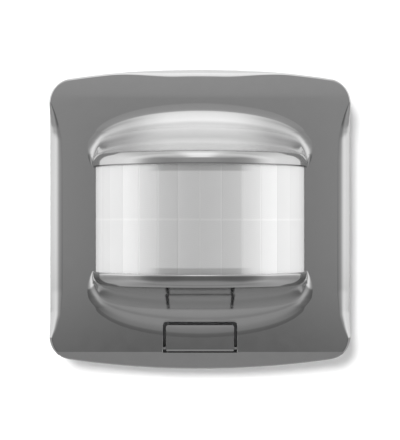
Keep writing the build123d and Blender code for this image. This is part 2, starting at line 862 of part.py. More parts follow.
# ---------------------------------------------------------------- spring clips that grip the head
with BuildPart() as spring_clips:
    for side in (-1, 1):
        for level in (-clip_z, clip_z):
            with BuildSketch(Plane.XY.offset(level - clip_half_z)):
                with BuildLine():
                    Polyline(
                        (side * clip_face, -clip_top_front),
                        (side * (clip_face + clip_wall), -clip_top_front),
                        (side * (clip_face + clip_wall), -ring_wall),
                        (side * clip_inner, -ring_wall),
                        (side * clip_inner, -ring_wall - clip_wall),
                        (side * clip_face, -ring_wall - clip_wall),
                        close=True,
                    )
                make_face()
            extrude(amount=2 * clip_half_z)
spring_clips.part.label = "spring_clips"
export_step(spring_clips.part, "parts/spring_clips.step")

# ---------------------------------------------------------------- insert housing
terminal_spots = [
    (terminal_pitch * (place - (terminal_count - 1) / 2), -terminal_wire_z)
    for place in range(terminal_count)
]
with BuildPart() as insert_housing:
    extrude(insert_outline(0), amount=-insert_depth)
    extrude(insert_outline(insert_wall), amount=-insert_floor_back, mode=Mode.SUBTRACT)
    # pillars for the ring's screws
    with BuildSketch(Plane.XZ.offset(-insert_cover_wall)):
        with GridLocations(2 * pillar_x, 2 * pillar_z, 2, 2):
            Circle(pillar_radius)
    extrude(amount=insert_cover_wall - pillar_back)
    with BuildSketch(Plane.XZ):
        with GridLocations(2 * pillar_x, 2 * pillar_z, 2, 2):
            Circle(ring_screw_radius + thread_gap)
    extrude(amount=-ring_screw_length - screw_hole_spare, mode=Mode.SUBTRACT)
    # wire entries at the rear and driver holes below
    with BuildSketch(Plane.XZ.offset(-insert_floor_back)):
        with Locations(*terminal_spots):
            Rectangle(wire_entry, wire_entry)
    extrude(amount=-insert_wall, mode=Mode.SUBTRACT)
    with BuildSketch(Plane.XY.offset(-terminal_bottom)):
        with Locations(*[(x, terminal_screw_back) for x, _ in terminal_spots]):
            Circle(driver_hole)
    extrude(amount=-insert_radius, mode=Mode.SUBTRACT)
insert_housing.part.label = "insert_housing"
export_step(insert_housing.part, "parts/insert_housing.step")

# ---------------------------------------------------------------- insert cover
socket_half_x = pin_columns * pin_pitch / 2 + socket_wall
socket_half_z = pin_rows * pin_pitch / 2 + socket_wall
with BuildPart() as insert_cover:
    extrude(insert_outline(insert_wall + seat_gap), amount=-insert_cover_wall)
    with BuildSketch(Plane.XZ):
        with Locations((0, plug_z)):
            Rectangle(2 * (socket_half_x + seat_gap), 2 * (socket_half_z + seat_gap))
        with GridLocations(2 * pillar_x, 2 * pillar_z, 2, 2):
            Circle(ring_screw_radius + seat_gap)
    extrude(amount=-insert_cover_wall, mode=Mode.SUBTRACT)
insert_cover.part.label = "insert_cover"
export_step(insert_cover.part, "parts/insert_cover.step")

ring_screw = screw(
    ring_screw_radius,
    ring_screw_length,
    ring_screw_head,
    ring_screw_head_height,
    ring_screw_slot,
)
with BuildPart() as ring_screws:
    with Locations(Plane((0, -ring_wall, 0), x_dir=(1, 0, 0), z_dir=(0, -1, 0))):
        with GridLocations(2 * pillar_x, 2 * pillar_z, 2, 2):
            add(ring_screw)
ring_screws.part.label = "ring_screws"
export_step(ring_screws.part, "parts/ring_screws.step")

# ---------------------------------------------------------------- socket and its contacts
with BuildPart() as socket_block:
    with BuildSketch(Plane.XZ.offset(socket_front)):
        with Locations((0, plug_z)):
            Rectangle(2 * socket_half_x, 2 * socket_half_z)
    extrude(amount=-socket_front - power_board_back)
    add(pin_grid(socket_hole, -socket_hole_back, socket_front), mode=Mode.SUBTRACT)
socket_block.part.label = "socket_block"
export_step(socket_block.part, "parts/socket_block.step")

with BuildPart() as socket_contacts:
    with BuildSketch(Plane.XZ.offset(-socket_hole_back)):
        with Locations((0, plug_z + (socket_hole - contact_wall) / 2)):
            with GridLocations(pin_pitch, pin_pitch, pin_columns, pin_rows):
                Rectangle(2 * contact_wall, contact_wall)
    extrude(amount=socket_hole_back)
socket_contacts.part.label = "socket_contacts"
export_step(socket_contacts.part, "parts/socket_contacts.step")

# ---------------------------------------------------------------- power board and its parts
with BuildPart() as power_board:
    with BuildSketch(Plane.XZ.offset(-power_board_back)):
        add(insert_outline(insert_wall + board_gap))
        with GridLocations(2 * pillar_x, 2 * pillar_z, 2, 2):
            Circle(pillar_radius + board_gap, mode=Mode.SUBTRACT)
    extrude(amount=-power_board_wall)
power_board.part.label = "power_board"
export_step(power_board.part, "parts/power_board.step")


def power_part(name, centre, size, depth):
    """Box-shaped component on the rear of the power board."""
    with BuildPart() as box:
        with BuildSketch(Plane.XZ.offset(-parts_back)):
            with Locations(centre):
                Rectangle(*size)
        extrude(amount=-depth)
        fillet(box.edges().group_by(Axis.Y)[-1], case_round)
    box.part.label = name
    export_step(box.part, f"parts/{name}.step")


power_part("relay", relay_centre, relay_size, relay_depth)
power_part("film_capacitor", film_centre, film_size, film_depth)

with BuildPart() as supply_capacitor:
    with BuildSketch(Plane.XZ.offset(-parts_back)):
        with Locations(supply_centre):
            Circle(supply_radius)
    extrude(amount=-supply_depth)
    fillet(supply_capacitor.edges().group_by(Axis.Y)[-1], case_round)
supply_capacitor.part.label = "supply_capacitor"
export_step(supply_capacitor.part, "parts/supply_capacitor.step")

with BuildPart() as varistor:
    with BuildSketch(Plane.XY.offset(varistor_z)):
        with Locations((varistor_x, parts_back + varistor_radius + varistor_lift)):
            Circle(varistor_radius)
    extrude(amount=varistor_wall)
    fillet(varistor.edges(), varistor_round)
varistor.part.label = "varistor"
export_step(varistor.part, "parts/varistor.step")

with BuildPart() as fuse:
    fuse_back = parts_back + fuse_cap_radius + fuse_lift
    with BuildSketch(Plane.YZ.offset(fuse_start_x)):
        with Locations((fuse_back, fuse_z)):
            Circle(fuse_radius)
    extrude(amount=fuse_length)
    for cap_x in (fuse_start_x, fuse_start_x + fuse_length - fuse_cap_length):
        with BuildSketch(Plane.YZ.offset(cap_x)):
            with Locations((fuse_back, fuse_z)):
                Circle(fuse_cap_radius)
        extrude(amount=fuse_cap_length)
fuse.part.label = "fuse"
export_step(fuse.part, "parts/fuse.step")

# ---------------------------------------------------------------- terminals
with BuildPart() as terminal_block:
    with BuildSketch(Plane.XZ.offset(-terminal_front_back)):
        with Locations((0, -(terminal_top + terminal_bottom) / 2)):
            Rectangle(2 * terminal_half_x, terminal_bottom - terminal_top)
    extrude(amount=terminal_front_back - insert_floor_back)
    with BuildSketch(Plane.XZ.offset(-chamber_back)):
        with Locations(*terminal_spots):
            Rectangle(chamber_side, chamber_side)
    extrude(amount=chamber_back - insert_floor_back, mode=Mode.SUBTRACT)
    with BuildSketch(Plane.XY.offset(-terminal_bottom)):
        with Locations(*[(x, terminal_screw_back) for x, _ in terminal_spots]):
            Circle(terminal_screw_radius + seat_gap)
    extrude(amount=terminal_bottom - terminal_wire_z, mode=Mode.SUBTRACT)
terminal_block.part.label = "terminal_block"
export_step(terminal_block.part, "parts/terminal_block.step")

with BuildPart() as terminal_clamps:
    with BuildSketch(Plane.XZ.offset(-clamp_back)):
        with Locations(*terminal_spots):
            Rectangle(clamp_side, clamp_side)
            Rectangle(clamp_side - 2 * clamp_wall, clamp_side - 2 * clamp_wall, mode=Mode.SUBTRACT)
    extrude(amount=-clamp_length)
    with BuildSketch(Plane.XY.offset(-terminal_bottom)):
        with Locations(*[(x, terminal_screw_back) for x, _ in terminal_spots]):
            Circle(terminal_screw_radius + pin_clearance)
    extrude(amount=terminal_bottom - terminal_wire_z, mode=Mode.SUBTRACT)
terminal_clamps.part.label = "terminal_clamps"
export_step(terminal_clamps.part, "parts/terminal_clamps.step")

terminal_screw = screw(
    terminal_screw_radius,
    terminal_screw_rise,
    terminal_head_radius,
    terminal_head_height,
    terminal_screw_slot,
)
with BuildPart() as terminal_screws:
    head_level = (0, 0, -terminal_bottom - seat_gap)
    with Locations(Plane(head_level, x_dir=(1, 0, 0), z_dir=(0, 0, -1))):
        with Locations(*[(x, -terminal_screw_back) for x, _ in terminal_spots]):
            add(terminal_screw)
terminal_screws.part.label = "terminal_screws"
export_step(terminal_screws.part, "parts/terminal_screws.step")

# ---------------------------------------------------------------- claws and their screws
claw_inner_x = claw_pivot_x - claw_wall / 2
with BuildPart() as claw_right:
    with BuildSketch(Plane.XY.offset(-claw_half_z)):
        with BuildLine():
            Polyline(
                (claw_inner_x, claw_start_back),
                (claw_inner_x + claw_wall, claw_start_back),
                (claw_inner_x + claw_wall, claw_end_back - claw_wall),
                (claw_tip_x, claw_end_back - claw_wall),
                (claw_tip_x, claw_end_back),
                (claw_inner_x, claw_end_back),
                close=True,
            )
        make_face()
    extrude(amount=2 * claw_half_z)
    # slot that the screw stands in
    with BuildSketch(Plane.YZ.offset(claw_inner_x)):
        with Locations((claw_end_back, 0)):
            Rectangle(2 * (claw_end_back - claw_slot_back), 2 * claw_slot_half)
    extrude(amount=claw_tip_x - claw_inner_x, mode=Mode.SUBTRACT)
    # notches that leave teeth at the tip
    with BuildSketch(Plane.XZ.offset(-claw_end_back)):
        prong_z = (claw_slot_half + claw_half_z) / 2
        for notch_z in (prong_z, -prong_z):
            with Locations((claw_tip_x, notch_z)):
                RegularPolygon(claw_tooth / 2, 4, rotation=0)
    extrude(amount=claw_wall, mode=Mode.SUBTRACT)
    with BuildSketch(Plane.XY.offset(-claw_half_z - trunnion_length)):
        with Locations((claw_pivot_x, claw_pivot_back)):
            Circle(trunnion_radius)
    extrude(amount=2 * (claw_half_z + trunnion_length))
claw_right.part.label = "claw_right"
export_step(claw_right.part, "parts/claw_right.step")

with BuildPart() as claw_left:
    mirror(claw_right.part, about=Plane.YZ)
claw_left.part.label = "claw_left"
export_step(claw_left.part, "parts/claw_left.step")

claw_screw = screw(
    claw_screw_radius,
    claw_screw_length + ring_wall,
    claw_head_radius,
    claw_head_height,
    claw_screw_slot,
)
for side_name, side in (("left", -1), ("right", 1)):
    seat = Plane((side * claw_screw_x, -ring_wall, 0), x_dir=(1, 0, 0), z_dir=(0, -1, 0))
    with BuildPart(seat) as claw_screw_part:
        add(claw_screw)
    claw_screw_part.part.label = f"claw_screw_{side_name}"
    export_step(claw_screw_part.part, f"parts/claw_screw_{side_name}.step")
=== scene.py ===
import json
from math import acos, asin, atan2, cos, pi, radians, sin, sqrt, tan

import bmesh
import bpy
import numpy as np
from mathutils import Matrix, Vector
from mathutils.geometry import delaunay_2d_cdt


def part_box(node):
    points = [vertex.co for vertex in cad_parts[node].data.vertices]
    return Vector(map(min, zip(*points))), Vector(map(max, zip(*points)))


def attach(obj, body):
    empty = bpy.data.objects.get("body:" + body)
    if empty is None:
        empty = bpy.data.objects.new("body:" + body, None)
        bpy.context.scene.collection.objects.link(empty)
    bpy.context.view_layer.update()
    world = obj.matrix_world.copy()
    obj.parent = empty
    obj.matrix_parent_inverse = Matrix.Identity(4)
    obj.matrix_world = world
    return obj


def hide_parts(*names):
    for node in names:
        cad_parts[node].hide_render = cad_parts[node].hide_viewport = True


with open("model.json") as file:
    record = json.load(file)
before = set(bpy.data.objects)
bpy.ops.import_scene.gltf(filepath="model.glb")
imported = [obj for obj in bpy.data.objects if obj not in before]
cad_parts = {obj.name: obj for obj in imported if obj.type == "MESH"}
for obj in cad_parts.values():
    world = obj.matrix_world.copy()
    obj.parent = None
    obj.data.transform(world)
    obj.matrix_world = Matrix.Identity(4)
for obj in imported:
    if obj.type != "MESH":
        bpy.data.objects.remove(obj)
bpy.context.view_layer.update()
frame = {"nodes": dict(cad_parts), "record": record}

MM = 0.001

# ---------------------------------------------------------------- sizes, in mm unless said otherwise
cover_low, cover_high = (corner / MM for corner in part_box("front_cover"))
lens_low, lens_high = (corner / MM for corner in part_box("fresnel_lens"))
flap_low, flap_high = (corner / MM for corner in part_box("control_flap"))

# lens, its opening and the rims above and below it; "front" distances count from the wall
LENS = lens_high.x
LENS_HALF = lens_high.z
LENS_WALL = 0.9
LENS_GAP = 0.1
LENS_TUCK = 1.75  # lens height hidden behind each rim
LEGS_BACK = -lens_high.y
AXIS = -lens_low.y - LENS
RIM_SPARE = 0.04  # keeps the rim inside the CAD's box
RIM = -cover_low.y - AXIS - RIM_SPARE
RIM_HEIGHT = 3.45
WINDOW = LENS_HALF - LENS_TUCK
RIM_TOP = WINDOW + RIM_HEIGHT
CHAMBER = LENS + LENS_GAP
POCKET = LENS_HALF + LENS_GAP

# square frame
HALF = cover_high.x
ARC = 237.0  # radius of its arched top and bottom edges
CORNER = 7.0
FACE = AXIS + 0.5  # the lens's axis lies half a millimetre behind the face
FACE_WALL = 2.0
BACK = FACE - FACE_WALL
SKIRT = 2.0  # thickness of its side walls
DRAFT = 0.42  # how far the side walls lean in on their way to the front
FACET_HEIGHT = 5.45  # sloped strip along the bottom edge
FACET_TOP = HALF - FACET_HEIGHT
FACET_SLOPE = 4.4 / 5.1  # how far the strip falls back for its height

# hoods
RUN = 15.0  # height of the lower hood's swept flank
RUN_UP = 14.5
FULL = 0.36  # the smaller, the squarer the flank's foot line
FOOT_HALF = 31.2
START = 15.0  # where on its ellipse the flank begins, degrees

# flap
PIN_LENGTH = 1.9
PIN_RADIUS = 0.5
FLAP_X = flap_high.x - PIN_LENGTH
FLAP_TOP = flap_high.z
FLAP_CORNER = 0.6
BARREL = 1.1
PIVOT_Z = flap_low.z + BARREL
PIVOT_D = FACE - BARREL
SLOT = 0.83
LIFT = 0.2  # how far the flap's top stands above the CAD's
CHAMFER = 0.13


def smooth(value, low, high):
    """Eased step from 0 at low to 1 at high."""
    t = min(max((value - low) / (high - low), 0.0), 1.0)
    return t * t * (3 - 2 * t)


def table(value, rows):
    """Smooth reading between (place, amount) rows."""
    for (a, fa), (b, fb) in zip(rows, rows[1:]):
        if value <= b:
            return fa + (fb - fa) * smooth(value, a, b)
    return rows[-1][1]


def straight(value, rows):
    """Straight-line reading between (place, amount) rows."""
    for (a, fa), (b, fb) in zip(rows, rows[1:]):
        if value <= b:
            return fa + (fb - fa) * max(value - a, 0.0) / (b - a)
    return rows[-1][1]


# ---------------------------------------------------------------- mesh building
class Skin:
    """Surface built from points (across, front, up) in mm, welded where they meet."""

    def __init__(self):
        self.points, self.lookup, self.faces = [], {}, []

    def point(self, p):
        key = tuple(round(v, 4) for v in p)
        if key not in self.lookup:
            self.lookup[key] = len(self.points)
            self.points.append(p)
        return self.lookup[key]

    def face(self, corners):
        ids = []
        for corner in corners:
            i = self.point(corner)
            if i not in ids:
                ids.append(i)
        if len(ids) > 2:
            self.faces.append(ids)

    def grid(self, rows, closed=False):
        for row, after in zip(rows, rows[1:]):
            count = len(row)
            for i in range(count if closed else count - 1):
                k = (i + 1) % count
                self.face([row[i], row[k], after[k], after[i]])

    def flat(self, loops, make):
        """Fill the area inside the first loop and outside the others; make turns (u, v) into a point."""
        spots, edges = [], []
        for loop in loops:
            start, kept = len(spots), []
            for spot in loop:
                if not kept or (Vector(spot) - Vector(kept[-1])).length > 1e-4:
                    kept.append(spot)
            if (Vector(kept[0]) - Vector(kept[-1])).length < 1e-4:
                kept.pop()
            spots += kept
            edges += [(start + i, start + (i + 1) % len(kept)) for i in range(len(kept))]
        found = delaunay_2d_cdt([Vector(s) for s in spots], edges, [], 0, 1e-6)
        ends = np.array([(*spots[a], *spots[b]) for a, b in edges])
        for tri in found[2]:
            corners = [found[0][i] for i in tri]
            u, v = sum(c.x for c in corners) / 3, sum(c.y for c in corners) / 3
            passed = (ends[:, 1] > v) != (ends[:, 3] > v)
            at = ends[passed]
            cross = at[:, 0] + (v - at[:, 1]) / (at[:, 3] - at[:, 1]) * (at[:, 2] - at[:, 0])
            if np.count_nonzero(cross > u) % 2:
                self.face([make(c.x, c.y) for c in corners])

    def build(self, name):
        mesh = bpy.data.meshes.new(name)
        mesh.from_pydata([(x * MM, -d * MM, z * MM) for x, d, z in self.points], [], self.faces)
        shaper = bmesh.new()
        shaper.from_mesh(mesh)
        bmesh.ops.recalc_face_normals(shaper, faces=shaper.faces)
        shaper.to_mesh(mesh)
        shaper.free()
        obj = bpy.data.objects.new(name, mesh)
        bpy.context.scene.collection.objects.link(obj)
        return obj


BOW = 9.0  # degrees by which the flat front's shading normals tilt up near its upper edge
BOW_FROM = 33.5
BOW_RUN = 5.1


def shade(obj, sharp=28.0, flat_front=None):
    """Smooth shading with sharp creases; the flat front keeps its plane's normal, tilted up near its top."""
    mesh = obj.data
    mesh.polygons.foreach_set("use_smooth", [True] * len(mesh.polygons))
    mesh.set_sharp_from_angle(angle=radians(sharp))
    if flat_front is None:
        return
    normals = [Vector(n.vector) for n in mesh.corner_normals]
    front = Vector((0, -1, 0))
    for poly in mesh.polygons:
        if poly.normal.dot(front) < 0.985:
            continue
        for loop in poly.loop_indices:
            spot = mesh.vertices[mesh.loops[loop].vertex_index].co
            if abs(-spot.y / MM - flat_front) < 2e-3:
                bow = radians(BOW) * min(max((spot.z / MM - BOW_FROM) / BOW_RUN, 0.0), 1.0)
                normals[loop] = Vector((0, -cos(bow), sin(bow)))
    mesh.normals_split_custom_set(normals)


def cut(obj, cutter):
    """Take cutter away from obj for good, and remove the cutter."""
    step = obj.modifiers.new("cut", "BOOLEAN")
    step.object, step.operation, step.solver = cutter, "DIFFERENCE", "EXACT"
    graph = bpy.context.evaluated_depsgraph_get()
    made = bpy.data.meshes.new_from_object(obj.evaluated_get(graph))
    obj.modifiers.remove(step)
    old, obj.data = obj.data, made
    made.name = obj.name
    bpy.data.meshes.remove(old)
    bpy.data.objects.remove(cutter)
    return obj


# ---------------------------------------------------------------- surface of the hoods and rims
EDGE = 0.45  # round of the rim's edge towards the lens
LEAN = ((0.0, 0.5), (EDGE, 1.0), (1.45, 7.0), (1.9, 24.0), (RIM_HEIGHT, 52.0))  # height, lean in degrees
INWARD = 0.5  # share of the lean's drop that narrows the rim; the rest sets it back
BAND_STEPS = 345

band_drop = [0.0]
for step in range(BAND_STEPS):
    gap = RIM_HEIGHT / BAND_STEPS
    band_drop.append(band_drop[-1] + gap * tan(radians(straight((step + 0.5) * gap, LEAN))))


def rim_drop(z):
    """Drop of the rim's surface at height z from its widest place; INWARD says how it is shared."""
    low = z - WINDOW
    place = min(max(low, 0.0) / RIM_HEIGHT, 1.0) * BAND_STEPS
    i = min(int(place), BAND_STEPS - 1)
    return band_drop[i] + (band_drop[i + 1] - band_drop[i]) * (place - i)


def rim_radius(z):
    """Radius of the rim at height z: rounded edge towards the lens, then narrowing over its shoulder."""
    low = z - WINDOW
    if low < EDGE:
        return RIM - EDGE + sqrt(max(EDGE**2 - (EDGE - low) ** 2, 0))
    return RIM - INWARD * rim_drop(z)


CREST = rim_radius(RIM_TOP)
SET_BACK = (1 - INWARD) * rim_drop(RIM_TOP)


def fall(share):
    """Height that is left on a hood's elliptic flank after this share of its run."""
    turn = acos(cos(radians(START)) * (1 - min(max(share, 0.0), 1.0)))
    return (1 - sin(turn)) / (1 - sin(radians(START)))


def pod(x, z):
    """Front distance of the rim or hood flank at (x, z), at least the frame's face."""
    run = RUN_UP if z > 0 else RUN
    z = abs(z)
    if z <= RIM_TOP:
        back = (1 - INWARD) * rim_drop(z)
        return max(AXIS + sqrt(max(rim_radius(z) ** 2 - x * x, 0)) - back, FACE)
    reach = run * max(1 - (x / FOOT_HALF) ** 2, 1e-9) ** FULL
    share = (z - RIM_TOP) / reach
    rise = sqrt(max(CREST**2 - x * x, 0)) - (FACE - AXIS) - SET_BACK
    if share >= 1 or rise <= 0:
        return FACE
    return FACE + rise * fall(share)


EAR_HALF = 31.1  # half width of a hood's foot at its widest
EAR_Z = 19.3
EAR_BEND = 17.5
# rows by height of the fillet at a hood's side ends: its largest radius, its angle to the face in degrees
LARGEST_FILLET = ((WINDOW, 7.4), (23.0, 7.4), (26.0, 4.0), (30.0, 1.2), (RIM_TOP + RUN, 0.2))
FOOT_TURN = ((WINDOW, 20.0), (19.3, 20.0), (21.0, 12.0), (23.0, 7.0), (26.0, 4.0), (RIM_TOP + RUN, 2.0))
BLOCK_X = 33.2  # the hoods' part of the face reaches out to here and up to BLOCK_Z
BLOCK_Z = RIM_TOP + RUN + 0.8
PLATE_STEPS = 8
CURVE_STEPS = 64
BEND_STEPS = 12
SAMPLES = 900


def roll(samples, heights, round_off, foot_turn):
    """Where a fillet of this radius stands: the x of its centre and the sample it touches."""
    sunk = round_off * (1 - cos(foot_turn))
    centre, touch = 0.0, 0
    for i, height in enumerate(heights):
        h = height + sunk
        if h <= round_off:
            reach = samples[i] + sqrt(max(2 * round_off * h - h * h, 0))
            if reach >= centre:
                centre, touch = reach, i
    return centre, touch


def fillet_radius(z, samples, heights, foot_turn):
    """Radius that brings the hood's foot out to its ear's outline at height z."""
    wanted = EAR_HALF - (z - EAR_Z) ** 2 / EAR_BEND
    low, high = 0.2, straight(z, LARGEST_FILLET)
    for _ in range(14):
        middle = (low + high) / 2
        if roll(samples, heights, middle, foot_turn)[0] - middle * sin(foot_turn) < wanted:
            low = middle
        else:
            high = middle
    return high


def section(z):
    """Right half of the section at height z: (x, front) on the pod, round its fillet and over the face."""
    radius = rim_radius(abs(z)) if abs(z) <= RIM_TOP else CREST
    samples = [radius * sin(pi / 2 * i / SAMPLES) for i in range(SAMPLES + 1)]
    heights = [pod(x, z) - FACE for x in samples]
    last = max((i for i, h in enumerate(heights) if h > 1e-5), default=0)
    if last < 3:
        start, end = 0.0, 0.0
        arc = [(end, FACE)] * BEND_STEPS
    else:
        samples, heights = samples[: last + 1], heights[: last + 1]
        foot_turn = radians(straight(abs(z), FOOT_TURN))
        round_off = fillet_radius(abs(z), samples, heights, foot_turn)
        sunk = round_off * (1 - cos(foot_turn))
        centre, touch = roll(samples, heights, round_off, foot_turn)
        start = samples[touch]
        start_turn = atan2(centre - start, round_off - heights[touch] - sunk)
        arc = []
        for k in range(1, BEND_STEPS + 1):
            turn = start_turn + (foot_turn - start_turn) * k / BEND_STEPS
            arc.append((centre - round_off * sin(turn), FACE + round_off * (1 - cos(turn)) - sunk))
        end = centre - round_off * sin(foot_turn)
        arc[-1] = (end, FACE)
    out = []
    top_turn = asin(min(start / radius, 1.0))
    for i in range(CURVE_STEPS + 1):
        x = radius * sin(top_turn * i / CURVE_STEPS)
        out.append((x, pod(x, z) if last >= 3 else FACE))
    return out + arc + [(end + (BLOCK_X - end) * k / PLATE_STEPS, FACE) for k in range(1, PLATE_STEPS + 1)]


def pod_levels():
    """Heights of the sections: the rim's rounded edge, the rim, the hood's flank and the face past it."""
    low = [WINDOW + EDGE * (1 - cos(pi / 2 * k / 5)) for k in range(6)]
    band = [WINDOW + EDGE + (RIM_HEIGHT - EDGE) * k / 26 for k in range(1, 27)]
    flank = []
    for k in range(1, 76):
        turn = START + (90 - START) * k / 75
        flank.append(RIM_TOP + RUN * (1 - cos(radians(turn)) / cos(radians(START))))
    return low + band + flank + [BLOCK_Z - 0.4, BLOCK_Z]


def both_sides(half):
    """Full row, left to right, from its right half."""
    return [(-x, d) for x, d in reversed(half[1:])] + half


# ---------------------------------------------------------------- outline of the frame
ARC_Z = HALF - ARC
CORNER_X = HALF - CORNER
CORNER_Z = ARC_Z + sqrt((ARC - CORNER) ** 2 - CORNER_X**2)


def outline():
    """Stations (x, z, outward x, outward z) clockwise from the top centre."""
    quarter = []
    arc_turn = atan2(CORNER_X, CORNER_Z - ARC_Z)
    for k in range(52):
        a = arc_turn * k / 52
        quarter.append((ARC * sin(a), ARC_Z + ARC * cos(a), sin(a), cos(a)))
    for k in range(40):
        a = arc_turn + (pi / 2 - arc_turn) * k / 40
        quarter.append((CORNER_X + CORNER * sin(a), CORNER_Z + CORNER * cos(a), sin(a), cos(a)))
    for k in range(49):
        quarter.append((HALF, CORNER_Z * (1 - k / 48), 1.0, 0.0))
    right = quarter + [(x, -z, nx, -nz) for x, z, nx, nz in reversed(quarter[:-1])]
    return right + [(-x, z, -nx, nz) for x, z, nx, nz in reversed(right[1:-1])]


def facet(z):
    """Front distance of the sloped bottom strip's plane."""
    return FACE - (-z - FACET_TOP) * FACET_SLOPE if z < -FACET_TOP else 99.0


# width of the frame's rounded edge: by |x| along the top, by height along the sides
TOP_ROUND = ((6.0, 3.0), (25.0, 0.7))
UPPER_SIDE_ROUND = ((17.0, 3.7), (22.0, 3.4), (26.0, 2.7), (29.0, 1.8), (31.0, 1.0), (32.4, 0.4))
LOWER_SIDE_ROUND = ((20.0, 3.7), (26.0, 3.2), (30.0, 2.0), (32.4, 0.9))
END_ROUND = 0.7
DEEPEST_ROUND = 3.3
LIP = 0.45  # round between the frame's wall and the sloped strip


def edge_width(station):
    """Width of the rounded edge at a station."""
    x, z, nx, nz = station
    if abs(nz) > 0.9:
        return table(abs(x), TOP_ROUND) if nz > 0 else END_ROUND
    if nz > 1e-6:
        return straight(nz, ((0.0, 0.4), (0.9, END_ROUND)))
    if nz < -1e-6:
        return straight(-nz, ((0.0, 0.9), (0.9, END_ROUND)))
    return straight(z, UPPER_SIDE_ROUND) if z > 0 else straight(-z, LOWER_SIDE_ROUND)


def rim_profile(station):
    """Profile points of the frame's edge at a station, from the wall to the flat front."""
    x, z, nx, nz = station
    wide = edge_width(station)
    deep = min(wide * 1.05, DEEPEST_ROUND)
    power = 1.5 + 0.5 * smooth(abs(nz), 0.2, 0.9)

    def edge(q):
        return FACE - deep * (1 - max(1 - (1 - min(q / wide, 1.0)) ** power, 0) ** (1 / power))

    def slope(q):
        return facet(z - nz * (q + DRAFT))

    line = (-FACET_TOP - z) / -nz - DRAFT if nz < -1e-6 and z < -FACET_TOP else 0.0
    line = max(line, 0.0)
    first = second = wide
    if line > 0:
        under = [q for q in (line * k / 400 for k in range(401)) if slope(q) < edge(q) - 1e-9]
        if under:
            first, second = under[0], under[-1] if under[-1] < line * 0.997 else line
    end = max(wide, second)
    points = []
    if first < 1e-6:
        wall = slope(0) - LIP
        points += [(0.0, wall * k / 6) for k in range(6)]
        for k in range(23):
            t = k / 22
            front = (1 - t) ** 2 * wall + 2 * t * (1 - t) * slope(0) + t * t * slope(LIP)
            points.append((LIP * t * t, front))
        first = LIP
    else:
        points += [(0.0, (FACE - deep) * k / 6) for k in range(6)]
        turn = acos(1 - min(first / wide, 1.0))
        for k in range(23):
            q = wide * (1 - cos(turn * k / 22))
            points.append((q, edge(q)))
    for k in range(1, 11):
        q = first + (second - first) * k / 10
        points.append((q, min(slope(q), edge(q), FACE)))
    for k in range(1, 7):
        q = second + (end - second) * k / 6
        points.append((q, edge(q)))
    points[-1] = (end, FACE)
    wall_top = points[6][1]
    points = [(q + DRAFT * min(d / wall_top, 1.0), d) for q, d in points]
    return [(x - nx * q, min(d, FACE), z - nz * q) for q, d in points]


def inner_profile(station):
    """Profile of the skirt's inner wall and of the inner face behind the sloped strip."""
    x, z, nx, nz = station
    wall = SKIRT * sqrt(1 + FACET_SLOPE**2)
    line = -(FACET_TOP - (wall - (FACE - BACK)) / FACET_SLOPE)
    start_z = z - nz * SKIRT
    if start_z < line:
        q = (line - z) / -nz
        return [
            (x - nx * SKIRT, 0.0, start_z),
            (x - nx * SKIRT, BACK - (line - start_z) * FACET_SLOPE, start_z),
            (x - nx * q, BACK, line),
        ]
    spot = (x - nx * SKIRT, BACK, start_z)
    return [(x - nx * SKIRT, 0.0, start_z), spot, spot]


# ---------------------------------------------------------------- cover
def build_cover():
    """The frame with both hoods as one shell, without the flap's window; a few seams in it stay open."""
    skin = Skin()
    stations = outline()
    outer = [rim_profile(s) for s in stations]
    inner = [inner_profile(s) for s in stations]
    skin.grid(outer + [outer[0]])
    skin.grid(inner + [inner[0]])
    skin.grid([[a[0], b[0]] for a, b in zip(outer, inner)] + [[outer[0][0], inner[0][0]]])

    levels = pod_levels()
    upper = [section(z) for z in levels]
    lower = [section(-z) for z in levels]
    for side, halves in ((1, upper), (-1, lower)):
        skin.grid([[(x, d, side * z) for x, d in both_sides(half)] for z, half in zip(levels, halves)])
    # the rims' faces towards the lens, and the pocket that the lens's edges stand in
    face_from = len(upper[0]) - 1 - PLATE_STEPS
    mouth = sqrt(CHAMBER**2 - (FACE - AXIS) ** 2)
    full_turn = acos((FACE - AXIS) / CHAMBER)
    arch_half = []
    for i in range(face_from + 1):
        a = full_turn * min(i / CURVE_STEPS, 1.0)
        arch_half.append((CHAMBER * sin(a), AXIS + CHAMBER * cos(a)))
    face_row, arch = both_sides(upper[0][: face_from + 1]), both_sides(arch_half)
    rim_line = [(-CHAMBER, AXIS)] + arch + [(CHAMBER, AXIS)]
    legs = [(mouth, FACE), (CHAMBER, AXIS), (CHAMBER, BACK)]
    for side in (1, -1):
        skin.grid([[(x, d, side * WINDOW) for x, d in row] for row in (face_row, arch)])
        skin.grid([[(x, d, side * height) for x, d in arch] for height in (WINDOW, POCKET)])
        skin.grid([
            [(x, d, side * POCKET) for x, d in rim_line],
            [(x, BACK, side * POCKET) for x, d in rim_line],
        ])
        skin.grid([[(side * x, d, z) for x, d in legs] for z in (-POCKET, -WINDOW, WINDOW, POCKET)])
    # the inner face, around the opening
    across = [(-CHAMBER, POCKET)] + [(x, POCKET) for x, d in arch] + [(CHAMBER, POCKET)]
    opening = across + [(CHAMBER, WINDOW), (CHAMBER, -WINDOW)]
    opening += [(x, -z) for x, z in reversed(across)] + [(-CHAMBER, -WINDOW), (-CHAMBER, WINDOW)]
    skin.flat([[(p[2][0], p[2][2]) for p in inner], opening], lambda u, v: (u, BACK, v))
    # the flat front, around the two pods and the lens
    right = [(x, WINDOW) for x, d in upper[0][face_from:]]
    right += [(BLOCK_X, z) for z in levels[1:]]
    top = [(x, BLOCK_Z) for x, d in both_sides(upper[-1])][::-1]
    loop = [(mouth, WINDOW)] + right + top + [(-x, z) for x, z in reversed(right)] + [(-mouth, WINDOW)]
    loop += [(x, -z) for x, z in reversed(loop)]
    skin.flat([[(p[-1][0], p[-1][2]) for p in outer], loop], lambda u, v: (u, FACE, v))
    return skin.build("front_cover_shell")


